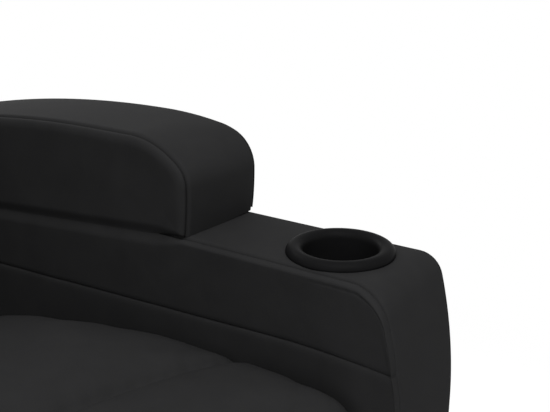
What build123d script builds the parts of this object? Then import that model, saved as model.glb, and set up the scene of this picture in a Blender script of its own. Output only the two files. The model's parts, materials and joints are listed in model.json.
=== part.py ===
"""Power recliner: an upholstered armchair whose back and footrest are each moved by a motor.

Front is -Y, the sitter's left is +X and the floor is Z 0. All sizes are in millimetres.
"""
import os
from math import acos, asin, cos, degrees, hypot, radians, sin, sqrt, tan

from build123d import *

os.makedirs("parts", exist_ok=True)

# Arms: two padded boxes, each with a low front deck and a raised bolster behind it
SEAT_GAP = 536.0  # between the inner seams of the two arms
ARM_WIDTH = 115.0  # seam to seam
INNER_PUFF = 8.0  # how far the padded inner panel swells past its seam
OUTER_PUFF = 5.0
PANEL_INSET = 1.5  # seam groove round each side panel
PANEL_ROUND = 4.5
ARM_FRONT = -452.0
ARM_REAR = 330.0
FOOT_HEIGHT = 45.0
DECK_Z = 600.0
DECK_CORNER_R = 42.0
DECK_CORNER_TURN = 75.0
FRONT_SWELL_R = 528.0
CREASE_Z = 517.0  # sewn crease along the inner panel
CREASE_FALL = 22.0
CREASE_R = 4.0
PAD_FRONT = 40.0  # padding between the cover's face and the frame inside it
PAD_REAR = 20.0
PAD_TOP = 28.0
PAD_SIDE = 6.0
BOARD = 10.0

# Bolsters: the raised rear arm rests
BOLSTER_FRONT = -198.0
BOLSTER_REAR = 318.0
BOLSTER_RISE = 103.5  # from the deck to the bolster's top
BOLSTER_TOP = DECK_Z + BOLSTER_RISE
BOLSTER_NOSE_R = 32.0
BOLSTER_BROW_R = 105.0
BOLSTER_BROW_TURN = 40.0
BOLSTER_REAR_R = 45.0
BOLSTER_ARCH_FRONT = -64.0  # where its top begins to arch down to the rear
BOLSTER_ARCH_R = 1640.0
BOLSTER_TUCK_TURN = 9.4  # degrees that its front draws in towards the deck
BOLSTER_PAD = 26.0
BOLSTER_PAD_SIDE = 14.0

# Cup holders in the decks
CUP_Y = -347.3
CUP_BORE_R = 38.5
CUP_WALL = 2.5
CUP_FLANGE_R = 56.0
CUP_CREST_R = 47.0
CUP_CREST = 8.0
CUP_DEPTH = 70.0

# Feet
FOOT_R = 18.0
FOOT_TOP_R = 24.0
FOOT_FRONT_INSET = 75.0
FOOT_REAR_INSET = 60.0

# Base: two steel rails bolted between the arms, tied by two cross tubes
RAIL_WIDTH = 25.0
RAIL_Z = 170.0
RAIL_HEIGHT = 40.0
RAIL_FRONT = -330.0
RAIL_REAR = 330.0
TUBE_WALL = 2.5
CROSS_TUBE = 30.0
FRONT_CROSS_Y = -75.0
REAR_CROSS_Y = 275.0
SPACER_T = 6.0  # between each rail and the arm beside it
SPACER_LENGTH = 50.0
SPACER_HEIGHT = 28.0
SPACER_INSET = 30.0  # from each rail end to its spacer's centre
BOLT_R = 4.0
BOLT_HEAD_R = 7.0
BOLT_HEAD = 4.0
BOLT_BITE = 16.0  # how deep an arm bolt goes into the arm

# Control box and power inlet on the rear cross tube
BOX_LENGTH = 120.0
BOX_DEPTH = 60.0
BOX_HEIGHT = 34.0
INLET_X = -150.0
INLET_PLATE = 26.0
INLET_PLATE_T = 3.0
INLET_R = 8.0
INLET_LENGTH = 13.0
INLET_BORE_R = 3.2
INLET_BORE_DEPTH = 10.0

# Switch on the outer face of the sitter's right arm: two rockers in one housing
SWITCH_Y = -300.0
SWITCH_Z = 450.0
ROCKER_WIDTH = 24.0
ROCKER_HEIGHT = 26.0
ROCKER_DEPTH = 11.0
ROCKER_CROWN = 2.0
ROCKER_SWING = 8.0
ROCKER_GAP = 1.6
ROCKER_SIDE_GAP = 0.5
ROCKER_PIN_R = 2.0
ROCKER_PIN_BACK = 8.0  # from the bezel's face to the rocker pins
SWITCH_WALL = 3.0
SWITCH_DEPTH = 22.0
BEZEL_LIP = 5.0
BEZEL_T = 3.0
BEZEL_SUNK = 0.5

# Seat: rails, side plates, springs and cushion, all carried by the glide
PLATE_STEP = 8.0  # from the side plate inward of the base rail
PLATE_T = 5.0
PLATE_FRONT = -264.0
PLATE_REAR = 208.0
PLATE_BOTTOM = 215.0
PLATE_TOP = 330.0
FLANGE_T = 5.0
SEAT_RAIL_WIDTH = 24.0
SEAT_RAIL_BOTTOM = 294.0
SEAT_RAIL_TOP = 338.0
SEAT_RAIL_FRONT = -365.0
SEAT_RAIL_REAR = 90.0
SEAT_CROSS_RAIL = 25.0
FRONT_RAIL_BOTTOM = 312.0
REAR_RAIL_BOTTOM = 302.0
SHOE_LENGTH = 60.0
SHOE_WALL = 3.0
SHOE_GRIP = 10.0
SHOE_FRONT_Y = -150.0
SHOE_REAR_Y = 130.0
SPRING_COUNT = 5
SPRING_PITCH = 80.0
SPRING_WIRE_R = 2.0
SPRING_REACH = 24.0  # half the width of each zigzag
SPRING_BENDS = 14
SEAT_BOLT_YS = (-120.0, -20.0, 70.0)
SEAT_BOLT_Z = 311.0
MID_TUBE_DEPTH = 30.0
MID_TUBE_HEIGHT = 26.0

# Seat cushion, with one sewn channel across it
CUSHION_SIDE_GAP = 2.0
CUSHION_FRONT = -440.0
CUSHION_REAR = 96.0
CUSHION_LIP_Z = 327.0
CUSHION_NOSE_Z = 440.0
CUSHION_NOSE_DEPTH = 46.0
CUSHION_CROWN_Z = 508.0
CUSHION_NOSE_TOP_Z = 493.0
CUSHION_CHANNEL_Y = -250.0
CUSHION_CHANNEL_Z = 489.0
CUSHION_REAR_Z = 462.0
CUSHION_SIDE_FALL = 46.0  # how much lower the top is at the sides
CUSHION_DRAW = 12.0  # how far the front and rear draw in at the sides
CUSHION_BULGE = 7.0

# Footrest linkage: every link stays parallel to its twin, so all of them turn at one rate
FOOT_PIVOT = (-205.0, 280.0)
DRIVE_LINK = 210.0
DRIVE_REST = 98.0  # below the horizontal, past straight down
FOOT_SWING = 84.0
OTTOMAN_PIVOT = (-354.0, 236.0)
TWIN_STEP = 50.0  # along the main link, from its pivots to the control link's
GUIDE_STEP = 45.0  # along the drive link, from the main link's pivot to the guide's
LINK_T = 5.0
LINK_GAP = 0.5
LINK_WIDTH = 24.0
SLIM_LINK_WIDTH = 20.0
PIN_R = 5.0
PIN_HEAD_R = 8.0
PIN_HEAD = 2.0
PIN_PLAY = 0.1
SHAFT_R = 12.0
SHAFT_END = 2.0  # how far a shaft's end shows past the side plate

# Footrest board and pad
OTTOMAN_BACK = -372.0
OTTOMAN_BOARD = 15.0
OTTOMAN_PAD = 58.0
OTTOMAN_TOP = 305.0
OTTOMAN_BOTTOM = 70.0
OTTOMAN_SIDE_GAP = 6.0
OTTOMAN_BOARD_INSET = 12.0
BRACKET_FLANGE = 24.0
BRACKET_EDGE = 14.0

# Back: leaning frame, springs of webbing, three cushions and a rear shell
BACK_PIVOT = (193.0, 400.0)
BACK_LEAN = 17.0
BACK_SWING = 36.0
EAR_R = 17.5
BACK_PIN_R = 8.0
BACK_BRACKET_TOP = 210.0
BACK_BRACKET_WIDTH = 24.0
STILE_BOTTOM = 45.0
STILE_TOP = 610.0
STILE_WIDTH = 25.5
STILE_REAR = -12.0
STILE_FRONT = 16.2
BACK_RAIL = 40.0
BACK_RAIL_BOTTOM = 60.0
BACK_RAIL_MIDDLE = 330.0
WEBBING_T = 2.0
WEBBING_WIDTH = 50.0
WEBBING_STARTS = (120.0, 200.0, 280.0, 390.0, 470.0, 540.0)
BACK_SIDE_GAP = 4.0
SHELL_REAR = -75.0
SHELL_REAR_WALL = 17.0
SHELL_TOP = 640.0
SHELL_TOP_WALL = 14.0
SHELL_SIDE_BOTTOM = 40.0
SHELL_BOTTOM = -5.0
SHELL_CORNER = 34.0
SHELL_SWELL = 8.0
BACK_CUSHION_BREAKS = ((-25.0, 190.0), (192.0, 400.0), (402.0, 640.0))
BACK_CUSHION_DEPTHS = (86.0, 90.0, 102.0)
BACK_CUSHION_SHOULDER = 14.0
BACK_SIDE_FALL = 0.42  # share of its depth that a back cushion loses at its sides

# Actuators: a motor on a screw rail pushes a slider whose pin works in a slotted lever
FOOT_DRIVE_X = -80.0
FOOT_LEVER = 70.0
FOOT_LEVER_RATE = 1.168  # slider travel per radian, over the lever's height
BACK_DRIVE_X = 80.0
BACK_LEVER = 112.0
BACK_LEVER_RATE = 1.034
SCREW_RAIL = 20.0
FOOT_RAIL_END = -300.0
BACK_RAIL_END = 270.0
SLIDER_LENGTH = 36.0
SLIDER_WALL = 3.6
SLIDER_PIN_R = 6.0
LEVER_T = 5.0
LEVER_EDGE = 7.0
GEARBOX_WIDTH = 60.0
GEARBOX_LENGTH = 115.0
FOOT_GEARBOX_FRONT = -45.0
BACK_GEARBOX_REAR = 45.0
BACK_GEARBOX_HEIGHT = 50.0
FOOT_GEARBOX_HEIGHT = 54.0
MOTOR_R = 22.0
MOTOR_LENGTH = 85.0
MOTOR_SET_BACK = 32.0

# Clearances
RUN_GAP = 0.3
HAIR_GAP = 0.05
CUSHION_GAP = 0.4

ARM_IN = SEAT_GAP / 2
ARM_OUT = ARM_IN + ARM_WIDTH
ARM_MID = (ARM_IN + ARM_OUT) / 2
ARM_FACE_IN = ARM_IN - INNER_PUFF
ARM_FACE_OUT = ARM_OUT + OUTER_PUFF
FRAME_IN = ARM_IN + PAD_SIDE
FRAME_OUT = ARM_OUT - PAD_SIDE
FRAME_FRONT = ARM_FRONT + PAD_FRONT
FRAME_REAR = ARM_REAR - PAD_REAR
FRAME_TOP = DECK_Z - PAD_TOP
CUP_OUTER_R = CUP_BORE_R + CUP_WALL
RAIL_OUT = ARM_FACE_IN - SPACER_T
RAIL_IN = RAIL_OUT - RAIL_WIDTH
RAIL_TOP = RAIL_Z + RAIL_HEIGHT
PLATE_IN = RAIL_IN - PLATE_STEP
PLATE_OUT = PLATE_IN + PLATE_T
LAYER_ONE = (PLATE_IN - LINK_GAP - LINK_T, PLATE_IN - LINK_GAP)
LAYER_TWO = (LAYER_ONE[0] - LINK_GAP - LINK_T, LAYER_ONE[0] - LINK_GAP)
SPRING_Z = SEAT_RAIL_TOP + SPRING_WIRE_R
CUSHION_BOTTOM = SPRING_Z + SPRING_WIRE_R + CUSHION_GAP
FOOT_SCREW_Z = FOOT_PIVOT[1] - FOOT_LEVER
BACK_SCREW_Z = BACK_PIVOT[1] - BACK_LEVER
FOOT_GEARBOX_TOP = FOOT_SCREW_Z + FOOT_GEARBOX_HEIGHT / 2
MID_TUBE_Z = (FOOT_GEARBOX_TOP, FOOT_GEARBOX_TOP + MID_TUBE_HEIGHT)
WEBBING_FRONT = STILE_FRONT + WEBBING_T
BACK_CUSHION_REAR = WEBBING_FRONT + RUN_GAP
STILE_OUT = LAYER_ONE[1] + STILE_WIDTH
CUSHION_HALF = ARM_FACE_IN - CUSHION_SIDE_GAP
OTTOMAN_HALF = ARM_FACE_IN - OTTOMAN_SIDE_GAP
BACK_HALF = ARM_FACE_IN - BACK_SIDE_GAP

parts = {}


# Shapes used throughout
def block(x, y, z):
    """Box given by its two limits along each axis."""
    size = [limits[1] - limits[0] for limits in (x, y, z)]
    centre = [(limits[1] + limits[0]) / 2 for limits in (x, y, z)]
    return Pos(*centre) * Box(*size)


def rod(x, y, z, radius):
    """Round bar along X between the two limits in x."""
    return Pos((x[0] + x[1]) / 2, y, z) * Rot(0, 90, 0) * Cylinder(radius, x[1] - x[0])


def prism(face, x):
    """Side-view face, drawn as Y and Z, carried along X between two limits."""
    return extrude(Plane.YZ.offset(x[0]) * face, amount=x[1] - x[0])


def both_sides(solid):
    """The left piece and its mirrored right twin."""
    return [solid, mirror(solid, about=Plane.YZ)]


def turned(start, heading, radius, turn):
    """Arc that leaves start along heading and turns left; gives the edge and where it ends."""
    centre_x = start[0] - radius * sin(radians(heading))
    centre_y = start[1] + radius * cos(radians(heading))

    def at(angle):
        direction = radians(heading + angle)
        return (centre_x + radius * sin(direction), centre_y - radius * cos(direction))

    return ThreePointArc(start, at(turn / 2), at(turn)), at(turn)


def bar(start, end, width):
    """Side-view outline of a flat link with round ends about two pivots."""
    run = (end[0] - start[0], end[1] - start[1])
    middle = ((start[0] + end[0]) / 2, (start[1] + end[1]) / 2)
    angle = degrees(acos(run[0] / hypot(*run))) * (1 if run[1] >= 0 else -1)
    return Pos(*middle) * Rot(0, 0, angle) * SlotCenterToCenter(hypot(*run), width)


def disc(centre, radius):
    return Pos(*centre) * Circle(radius)


def square_tube(x, y, z, along):
    """Hollow steel tube, open at both ends along one axis."""
    wall = [0 if axis == along else TUBE_WALL for axis in "xyz"]
    inside = [(low + w, high - w) for (low, high), w in zip((x, y, z), wall)]
    return block(x, y, z) - block(*inside)


def group(solids):
    return Compound([solid for item in solids for solid in item.solids()])


def side_fall(share):
    """Nought along the middle of a cushion, one at its side edge, steep only near the edge."""
    return 1 - sqrt(1 - abs(share) ** 4)


CUSHION_STATIONS = (-1.0, -0.94, -0.78, -0.45, 0.0, 0.45, 0.78, 0.94, 1.0)


# Arms
def arm_profile():
    corner_end = turned((0, 0), 180, DECK_CORNER_R, DECK_CORNER_TURN)[1]
    heading = 180 + DECK_CORNER_TURN
    swell_end = turned(corner_end, heading, FRONT_SWELL_R, 90 - DECK_CORNER_TURN)[1]
    deck_end = (ARM_FRONT - swell_end[0], DECK_Z)
    corner, corner_end = turned(deck_end, 180, DECK_CORNER_R, DECK_CORNER_TURN)
    swell, swell_end = turned(corner_end, heading, FRONT_SWELL_R, 90 - DECK_CORNER_TURN)
    rest = Polyline(
        swell_end,
        (ARM_FRONT, FOOT_HEIGHT),
        (ARM_REAR, FOOT_HEIGHT),
        (ARM_REAR, DECK_Z),
        deck_end,
    )
    return make_face([*corner.edges(), *swell.edges(), *rest.edges()])


def padded_block(profile):
    """Boxing between the two seams with a swollen panel on each side."""
    panel = offset(profile, amount=-PANEL_INSET)
    inner = prism(panel, (ARM_FACE_IN, ARM_IN))
    inner = fillet(inner.faces().sort_by(Axis.X)[0].edges(), PANEL_ROUND)
    outer = prism(panel, (ARM_OUT, ARM_FACE_OUT))
    outer = fillet(outer.faces().sort_by(Axis.X)[-1].edges(), PANEL_ROUND)
    return prism(profile, (ARM_IN, ARM_OUT)) + inner + outer


def crease():
    """Round groove along the inner panel, falling gently to the rear."""
    x = ARM_FACE_IN - CREASE_R / 4
    path = ThreePointArc(
        (x, ARM_FRONT - CREASE_R, CREASE_Z),
        (x, (ARM_FRONT + ARM_REAR) / 2, CREASE_Z - CREASE_FALL / 4),
        (x, ARM_REAR + CREASE_R, CREASE_Z - CREASE_FALL),
    )
    return sweep(Plane(path @ 0, z_dir=path % 0) * Circle(CREASE_R), path)


def cup_hole(z):
    height = z[1] - z[0]
    hole = Cylinder(CUP_OUTER_R + RUN_GAP, height)
    return Pos(ARM_MID, CUP_Y, (z[0] + z[1]) / 2) * hole


def bolt_places():
    for y in (RAIL_FRONT + SPACER_INSET, RAIL_REAR - SPACER_INSET):
        yield y, RAIL_Z + SPACER_HEIGHT / 2 + TUBE_WALL


def bolt_holes():
    x = (RAIL_IN - BOLT_HEAD, ARM_FACE_IN + INNER_PUFF + BOLT_BITE + RUN_GAP)
    return [rod(x, y, z, BOLT_R + HAIR_GAP) for y, z in bolt_places()]


arm_frame_y = (FRAME_FRONT, FRAME_REAR)
arm_frame_z = (FOOT_HEIGHT, FRAME_TOP)
arm_hollow = block((FRAME_IN, FRAME_OUT), arm_frame_y, arm_frame_z)
arm_cover = padded_block(arm_profile()) - arm_hollow - crease() - cup_hole((FRAME_TOP, DECK_Z))
arm_cover = arm_cover - bolt_holes()

between = (FRAME_IN + BOARD, FRAME_OUT - BOARD)
cup_room = cup_hole((DECK_Z - CUP_DEPTH - CUP_WALL - RUN_GAP, FRAME_TOP))
inner_board = block((FRAME_IN, between[0]), arm_frame_y, arm_frame_z) - cup_room - bolt_holes()
outer_board = block((between[1], FRAME_OUT), arm_frame_y, arm_frame_z) - cup_room
deck_z = (FRAME_TOP - BOARD, FRAME_TOP)
deck_board = block(between, arm_frame_y, deck_z) - cup_hole(deck_z)
floor_board = block(between, arm_frame_y, (FOOT_HEIGHT, FOOT_HEIGHT + BOARD))
upright_z = (FOOT_HEIGHT + BOARD, FRAME_TOP - BOARD)
front_board = block(between, (FRAME_FRONT, FRAME_FRONT + BOARD), upright_z)
rear_board = block(between, (FRAME_REAR - BOARD, FRAME_REAR), upright_z)


# Switch housing sunk in the outer face of the right arm, and its two rockers
def rocker_ys():
    step = (ROCKER_WIDTH + 2 * ROCKER_SIDE_GAP + SWITCH_WALL) / 2
    return SWITCH_Y - step, SWITCH_Y + step


def rocker_window(y):
    half_width = ROCKER_WIDTH / 2 + ROCKER_SIDE_GAP
    half_height = ROCKER_HEIGHT / 2 + ROCKER_GAP
    z = (SWITCH_Z - half_height, SWITCH_Z + half_height)
    return (y - half_width, y + half_width), z


window_height = ROCKER_HEIGHT / 2 + ROCKER_GAP
window_reach = ROCKER_WIDTH + 2 * ROCKER_SIDE_GAP + SWITCH_WALL / 2
bezel_face = -ARM_FACE_OUT + BEZEL_SUNK
switch_y = (SWITCH_Y - window_reach - SWITCH_WALL, SWITCH_Y + window_reach + SWITCH_WALL)
switch_z = (SWITCH_Z - window_height - SWITCH_WALL, SWITCH_Z + window_height + SWITCH_WALL)
switch_x = (bezel_face, bezel_face + SWITCH_DEPTH)
lip_y = (switch_y[0] - BEZEL_LIP, switch_y[1] + BEZEL_LIP)
lip_z = (switch_z[0] - BEZEL_LIP, switch_z[1] + BEZEL_LIP)
rocker_pin_x = bezel_face + ROCKER_PIN_BACK


def grown(limits, by):
    return (limits[0] - by, limits[1] + by)


switch_hole = block((-ARM_FACE_OUT, switch_x[1]), grown(switch_y, RUN_GAP), grown(switch_z, RUN_GAP))
lip_pocket_x = (-ARM_FACE_OUT, bezel_face + BEZEL_T)
lip_pocket = block(lip_pocket_x, grown(lip_y, RUN_GAP), grown(lip_z, RUN_GAP))
housing = block(switch_x, switch_y, switch_z)
housing = housing + block((bezel_face, bezel_face + BEZEL_T), lip_y, lip_z)
for rocker_y in rocker_ys():
    window_y, window_z = rocker_window(rocker_y)
    housing = housing - block((bezel_face, switch_x[1] - SWITCH_WALL), window_y, window_z)
rocker_pin_line = Pos(rocker_pin_x, SWITCH_Y, SWITCH_Z) * Rot(90, 0, 0)
housing = housing - rocker_pin_line * Cylinder(ROCKER_PIN_R + PIN_PLAY, switch_y[1] - switch_y[0])
parts["switch_housing"] = housing


def rocker(y):
    """Paddle with a bowed face and a pin through it, drawn as X and Z and carried along Y."""
    top = SWITCH_Z + ROCKER_HEIGHT / 2
    low = SWITCH_Z - ROCKER_HEIGHT / 2
    rim = bezel_face + ROCKER_CROWN
    rear = bezel_face + ROCKER_DEPTH
    face = ThreePointArc((rim, low), (bezel_face, SWITCH_Z), (rim, top))
    inset = ROCKER_HEIGHT / 4
    rest = Polyline((rim, top), (rocker_pin_x, top), (rear, top - inset), (rear, low + inset),
                    (rocker_pin_x, low), (rim, low))
    outline = make_face([*face.edges(), *rest.edges()])
    width = ROCKER_WIDTH
    paddle = extrude(Plane.XZ.offset(-y - width / 2) * outline, amount=width)
    pin_length = width + 2 * ROCKER_SIDE_GAP + SWITCH_WALL
    pin = Pos(rocker_pin_x, y, SWITCH_Z) * Rot(90, 0, 0) * Cylinder(ROCKER_PIN_R, pin_length - RUN_GAP)
    return paddle + pin


parts["footrest_rocker"] = rocker(rocker_ys()[0])
parts["back_rocker"] = rocker(rocker_ys()[1])

parts["arm_cover_left"] = arm_cover
parts["arm_cover_right"] = mirror(arm_cover, about=Plane.YZ) - switch_hole - lip_pocket
boards = [inner_board, outer_board, deck_board, floor_board, front_board, rear_board]
parts["arm_frame_left"] = group(boards)
right_boards = [mirror(board, about=Plane.YZ) for board in boards]
right_boards[1] = right_boards[1] - switch_hole
parts["arm_frame_right"] = group(right_boards)


# Bolsters
bolster_arch_run = BOLSTER_REAR - BOLSTER_REAR_R - BOLSTER_ARCH_FRONT
bolster_arch_turn = degrees(asin(bolster_arch_run / (BOLSTER_ARCH_R - BOLSTER_REAR_R)))
bolster_arch_fall = BOLSTER_ARCH_R * (1 - cos(radians(bolster_arch_turn)))


def bolster_profile():
    nose_turn = 90 - BOLSTER_BROW_TURN
    heading = 180 + BOLSTER_BROW_TURN
    brow_end = turned((0, 0), 180, BOLSTER_BROW_R, BOLSTER_BROW_TURN)[1]
    nose_end = turned(brow_end, heading, BOLSTER_NOSE_R, nose_turn)[1]
    brow_start = (BOLSTER_FRONT - nose_end[0], BOLSTER_TOP)
    brow, brow_end = turned(brow_start, 180, BOLSTER_BROW_R, BOLSTER_BROW_TURN)
    nose, nose_end = turned(brow_end, heading, BOLSTER_NOSE_R, nose_turn)
    drop = nose_end[1] - DECK_Z
    tuck_r = drop / sin(radians(BOLSTER_TUCK_TURN))
    tuck, tuck_end = turned(nose_end, 270, tuck_r, BOLSTER_TUCK_TURN)
    rear_drop = BOLSTER_REAR_R * cos(radians(bolster_arch_turn))
    rear_start = (BOLSTER_REAR, BOLSTER_TOP - bolster_arch_fall - rear_drop)
    rear, rear_end = turned(rear_start, 90, BOLSTER_REAR_R, 90 - bolster_arch_turn)
    arch, arch_end = turned(rear_end, 180 - bolster_arch_turn, BOLSTER_ARCH_R, bolster_arch_turn)
    underside = Polyline(tuck_end, (BOLSTER_REAR, DECK_Z), rear_start)
    top = Line(arch_end, brow_start)
    curves = (brow, nose, tuck, underside, rear, arch, top)
    return make_face([edge for curve in curves for edge in curve.edges()])


core_x = (ARM_IN + BOLSTER_PAD_SIDE, ARM_OUT - BOLSTER_PAD_SIDE)
core_y = (BOLSTER_FRONT + BOLSTER_PAD, BOLSTER_REAR - BOLSTER_PAD)
core_z = (DECK_Z, BOLSTER_TOP - bolster_arch_fall - BOLSTER_PAD)
bolster_core = block(core_x, core_y, core_z)
bolster_cover = padded_block(bolster_profile()) - bolster_core
parts["bolster_cover_left"], parts["bolster_cover_right"] = both_sides(bolster_cover)
parts["bolster_cores"] = group(both_sides(bolster_core))


# Cup holders: a turned cup with a rolled flange that rests on the deck
def cup_holder():
    top = CUP_CREST
    crest_in = (CUP_BORE_R + CUP_CREST_R) / 2
    crest_out = (CUP_FLANGE_R + CUP_CREST_R) / 2
    rise = CUP_CREST * 0.72
    outer_lip = ThreePointArc((CUP_FLANGE_R, 0), (crest_out + CUP_WALL, rise), (CUP_CREST_R, top))
    inner_lip = ThreePointArc((CUP_CREST_R, top), (crest_in - CUP_WALL / 2, rise), (CUP_BORE_R, 0))
    wall = Polyline(
        (CUP_BORE_R, 0),
        (CUP_BORE_R, -CUP_DEPTH),
        (0, -CUP_DEPTH),
        (0, -CUP_DEPTH - CUP_WALL),
        (CUP_OUTER_R, -CUP_DEPTH - CUP_WALL),
        (CUP_OUTER_R, 0),
        (CUP_FLANGE_R, 0),
    )
    section = make_face([*outer_lip.edges(), *inner_lip.edges(), *wall.edges()])
    return Pos(ARM_MID, CUP_Y, DECK_Z) * revolve(Plane.XZ * section, axis=Axis.Z)


parts["cup_holder_left"], parts["cup_holder_right"] = both_sides(cup_holder())

# Feet under the arm frames
foot_ys = (ARM_FRONT + FOOT_FRONT_INSET, ARM_REAR - FOOT_REAR_INSET)
foot = Cone(FOOT_R, FOOT_TOP_R, FOOT_HEIGHT)
feet = [Pos(ARM_MID, y, FOOT_HEIGHT / 2) * foot for y in foot_ys]
parts["feet"] = group([twin for item in feet for twin in both_sides(item)])

# Base rails, cross tubes, spacers and the bolts that hold the arms
rail_y = (RAIL_FRONT, RAIL_REAR)
base_rail = square_tube((RAIL_IN, RAIL_OUT), rail_y, (RAIL_Z, RAIL_TOP), "y") - bolt_holes()
parts["base_rails"] = group(both_sides(base_rail))
cross_x = (-RAIL_OUT, RAIL_OUT)
cross_z = (RAIL_Z - CROSS_TUBE, RAIL_Z)
for name, y in (("front_cross_tube", FRONT_CROSS_Y), ("rear_cross_tube", REAR_CROSS_Y)):
    cross_y = (y - CROSS_TUBE / 2, y + CROSS_TUBE / 2)
    parts[name] = square_tube(cross_x, cross_y, cross_z, "x")
spacers = []
arm_bolts = []
for y, z in bolt_places():
    spacer_y = (y - SPACER_LENGTH / 2, y + SPACER_LENGTH / 2)
    spacer_z = (z - SPACER_HEIGHT / 2, z + SPACER_HEIGHT / 2)
    spacer = block((RAIL_OUT, ARM_FACE_IN), spacer_y, spacer_z) - bolt_holes()
    shank = rod((RAIL_IN, ARM_FACE_IN + INNER_PUFF + BOLT_BITE), y, z, BOLT_R)
    bolt = shank + rod((RAIL_IN - BOLT_HEAD, RAIL_IN), y, z, BOLT_HEAD_R)
    spacers += both_sides(spacer)
    arm_bolts += both_sides(bolt)
parts["rail_spacers"] = group(spacers)
parts["arm_bolts"] = group(arm_bolts)

# Control box in front of the rear cross tube, power inlet behind it
rear_cross_front = REAR_CROSS_Y - CROSS_TUBE / 2
rear_cross_back = REAR_CROSS_Y + CROSS_TUBE / 2
box_y = (rear_cross_front - BOX_DEPTH, rear_cross_front)
parts["control_box"] = block((-BOX_LENGTH / 2, BOX_LENGTH / 2), box_y, (RAIL_Z - BOX_HEIGHT, RAIL_Z))
inlet_z = RAIL_Z - CROSS_TUBE / 2
inlet_plate = block(
    (INLET_X - INLET_PLATE / 2, INLET_X + INLET_PLATE / 2),
    (rear_cross_back, rear_cross_back + INLET_PLATE_T),
    (inlet_z - INLET_PLATE / 2, inlet_z + INLET_PLATE / 2),
)
inlet_end = rear_cross_back + INLET_PLATE_T + INLET_LENGTH
inlet_line = Pos(INLET_X, inlet_end, inlet_z) * Rot(90, 0, 0)
barrel = inlet_line * Pos(0, 0, INLET_LENGTH / 2) * Cylinder(INLET_R, INLET_LENGTH)
inlet_bore = inlet_line * Pos(0, 0, INLET_BORE_DEPTH / 2) * Cylinder(INLET_BORE_R, INLET_BORE_DEPTH)
parts["power_inlet"] = inlet_plate + barrel - inlet_bore


# Footrest linkage, in side view at rest
def away(start, length, angle):
    """Point at a length from start; the angle is from straight ahead, positive upward."""
    return (start[0] - length * cos(radians(angle)), start[1] + length * sin(radians(angle)))


def along(start, end, length):
    run = hypot(end[0] - start[0], end[1] - start[1])
    return tuple(a + (b - a) * length / run for a, b in zip(start, end))


def moved(point, start, end):
    return tuple(p + b - a for p, a, b in zip(point, start, end))


knee = away(FOOT_PIVOT, DRIVE_LINK, -DRIVE_REST)
twin_knee = along(knee, OTTOMAN_PIVOT, TWIN_STEP)
twin_pivot = moved(FOOT_PIVOT, knee, twin_knee)
guide_knee = along(knee, FOOT_PIVOT, GUIDE_STEP)
guide_pivot = moved(guide_knee, knee, OTTOMAN_PIVOT)
PIN_BORE = PIN_R + PIN_PLAY
PIN_SEAT = PIN_R + HAIR_GAP


def link(outline, layer, holes):
    for centre, radius in holes:
        outline = outline - disc(centre, radius)
    return group(both_sides(prism(outline, layer)))


def rivets(places, x):
    """Pins along X on both sides, each with a head on its inner end."""
    pins = []
    for y, z in places:
        pin = rod(x, y, z, PIN_R) + rod((x[0] - PIN_HEAD, x[0]), y, z, PIN_HEAD_R)
        pins += both_sides(pin)
    return group(pins)


parts["drive_links"] = link(
    bar(FOOT_PIVOT, knee, LINK_WIDTH) + disc(FOOT_PIVOT, SHAFT_R + LEVER_EDGE),
    LAYER_ONE,
    [(FOOT_PIVOT, SHAFT_R + HAIR_GAP), (knee, PIN_SEAT), (guide_knee, PIN_SEAT)],
)
parts["control_links"] = link(
    bar(twin_pivot, twin_knee, LINK_WIDTH), LAYER_ONE, [(twin_pivot, PIN_BORE), (twin_knee, PIN_BORE)]
)
parts["main_links"] = link(
    bar(knee, OTTOMAN_PIVOT, SLIM_LINK_WIDTH),
    LAYER_TWO,
    [(knee, PIN_BORE), (twin_knee, PIN_SEAT), (OTTOMAN_PIVOT, PIN_BORE)],
)
parts["guide_links"] = link(
    bar(guide_knee, guide_pivot, SLIM_LINK_WIDTH),
    LAYER_TWO,
    [(guide_knee, PIN_BORE), (guide_pivot, PIN_BORE)],
)
pin_x = (LAYER_TWO[0] - RUN_GAP, LAYER_ONE[1])
parts["drive_link_pins"] = rivets([knee, guide_knee], pin_x)
parts["main_link_pins"] = rivets([twin_knee], pin_x)
parts["ottoman_pins"] = rivets([OTTOMAN_PIVOT, guide_pivot], pin_x)
parts["control_link_pins"] = rivets([twin_pivot], (LAYER_ONE[0] - RUN_GAP, PLATE_OUT))

# Footrest: brackets, board and padded panel
bracket_low = OTTOMAN_PIVOT[1] - BRACKET_EDGE
bracket_high = guide_pivot[1] + BRACKET_EDGE
bracket_rear = OTTOMAN_PIVOT[0] + BRACKET_EDGE
bracket_outline = make_face(
    Polyline(
        (OTTOMAN_BACK, bracket_low),
        (bracket_rear, bracket_low),
        (bracket_rear, bracket_high),
        (OTTOMAN_BACK, bracket_high),
        close=True,
    )
)
for pivot in (OTTOMAN_PIVOT, guide_pivot):
    bracket_outline = bracket_outline - disc(pivot, PIN_SEAT)
bracket_flange = block(
    (LAYER_ONE[1], LAYER_ONE[1] + BRACKET_FLANGE),
    (OTTOMAN_BACK, OTTOMAN_BACK + LINK_T),
    (bracket_low, bracket_high),
)
parts["ottoman_brackets"] = group(both_sides(prism(bracket_outline, LAYER_ONE) + bracket_flange))
board_front = OTTOMAN_BACK - OTTOMAN_BOARD
board_half = OTTOMAN_HALF - OTTOMAN_BOARD_INSET
board_z = (OTTOMAN_BOTTOM + OTTOMAN_BOARD_INSET, OTTOMAN_TOP - OTTOMAN_BOARD_INSET)
parts["footrest_board"] = block((-board_half, board_half), (board_front, OTTOMAN_BACK), board_z)


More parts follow.
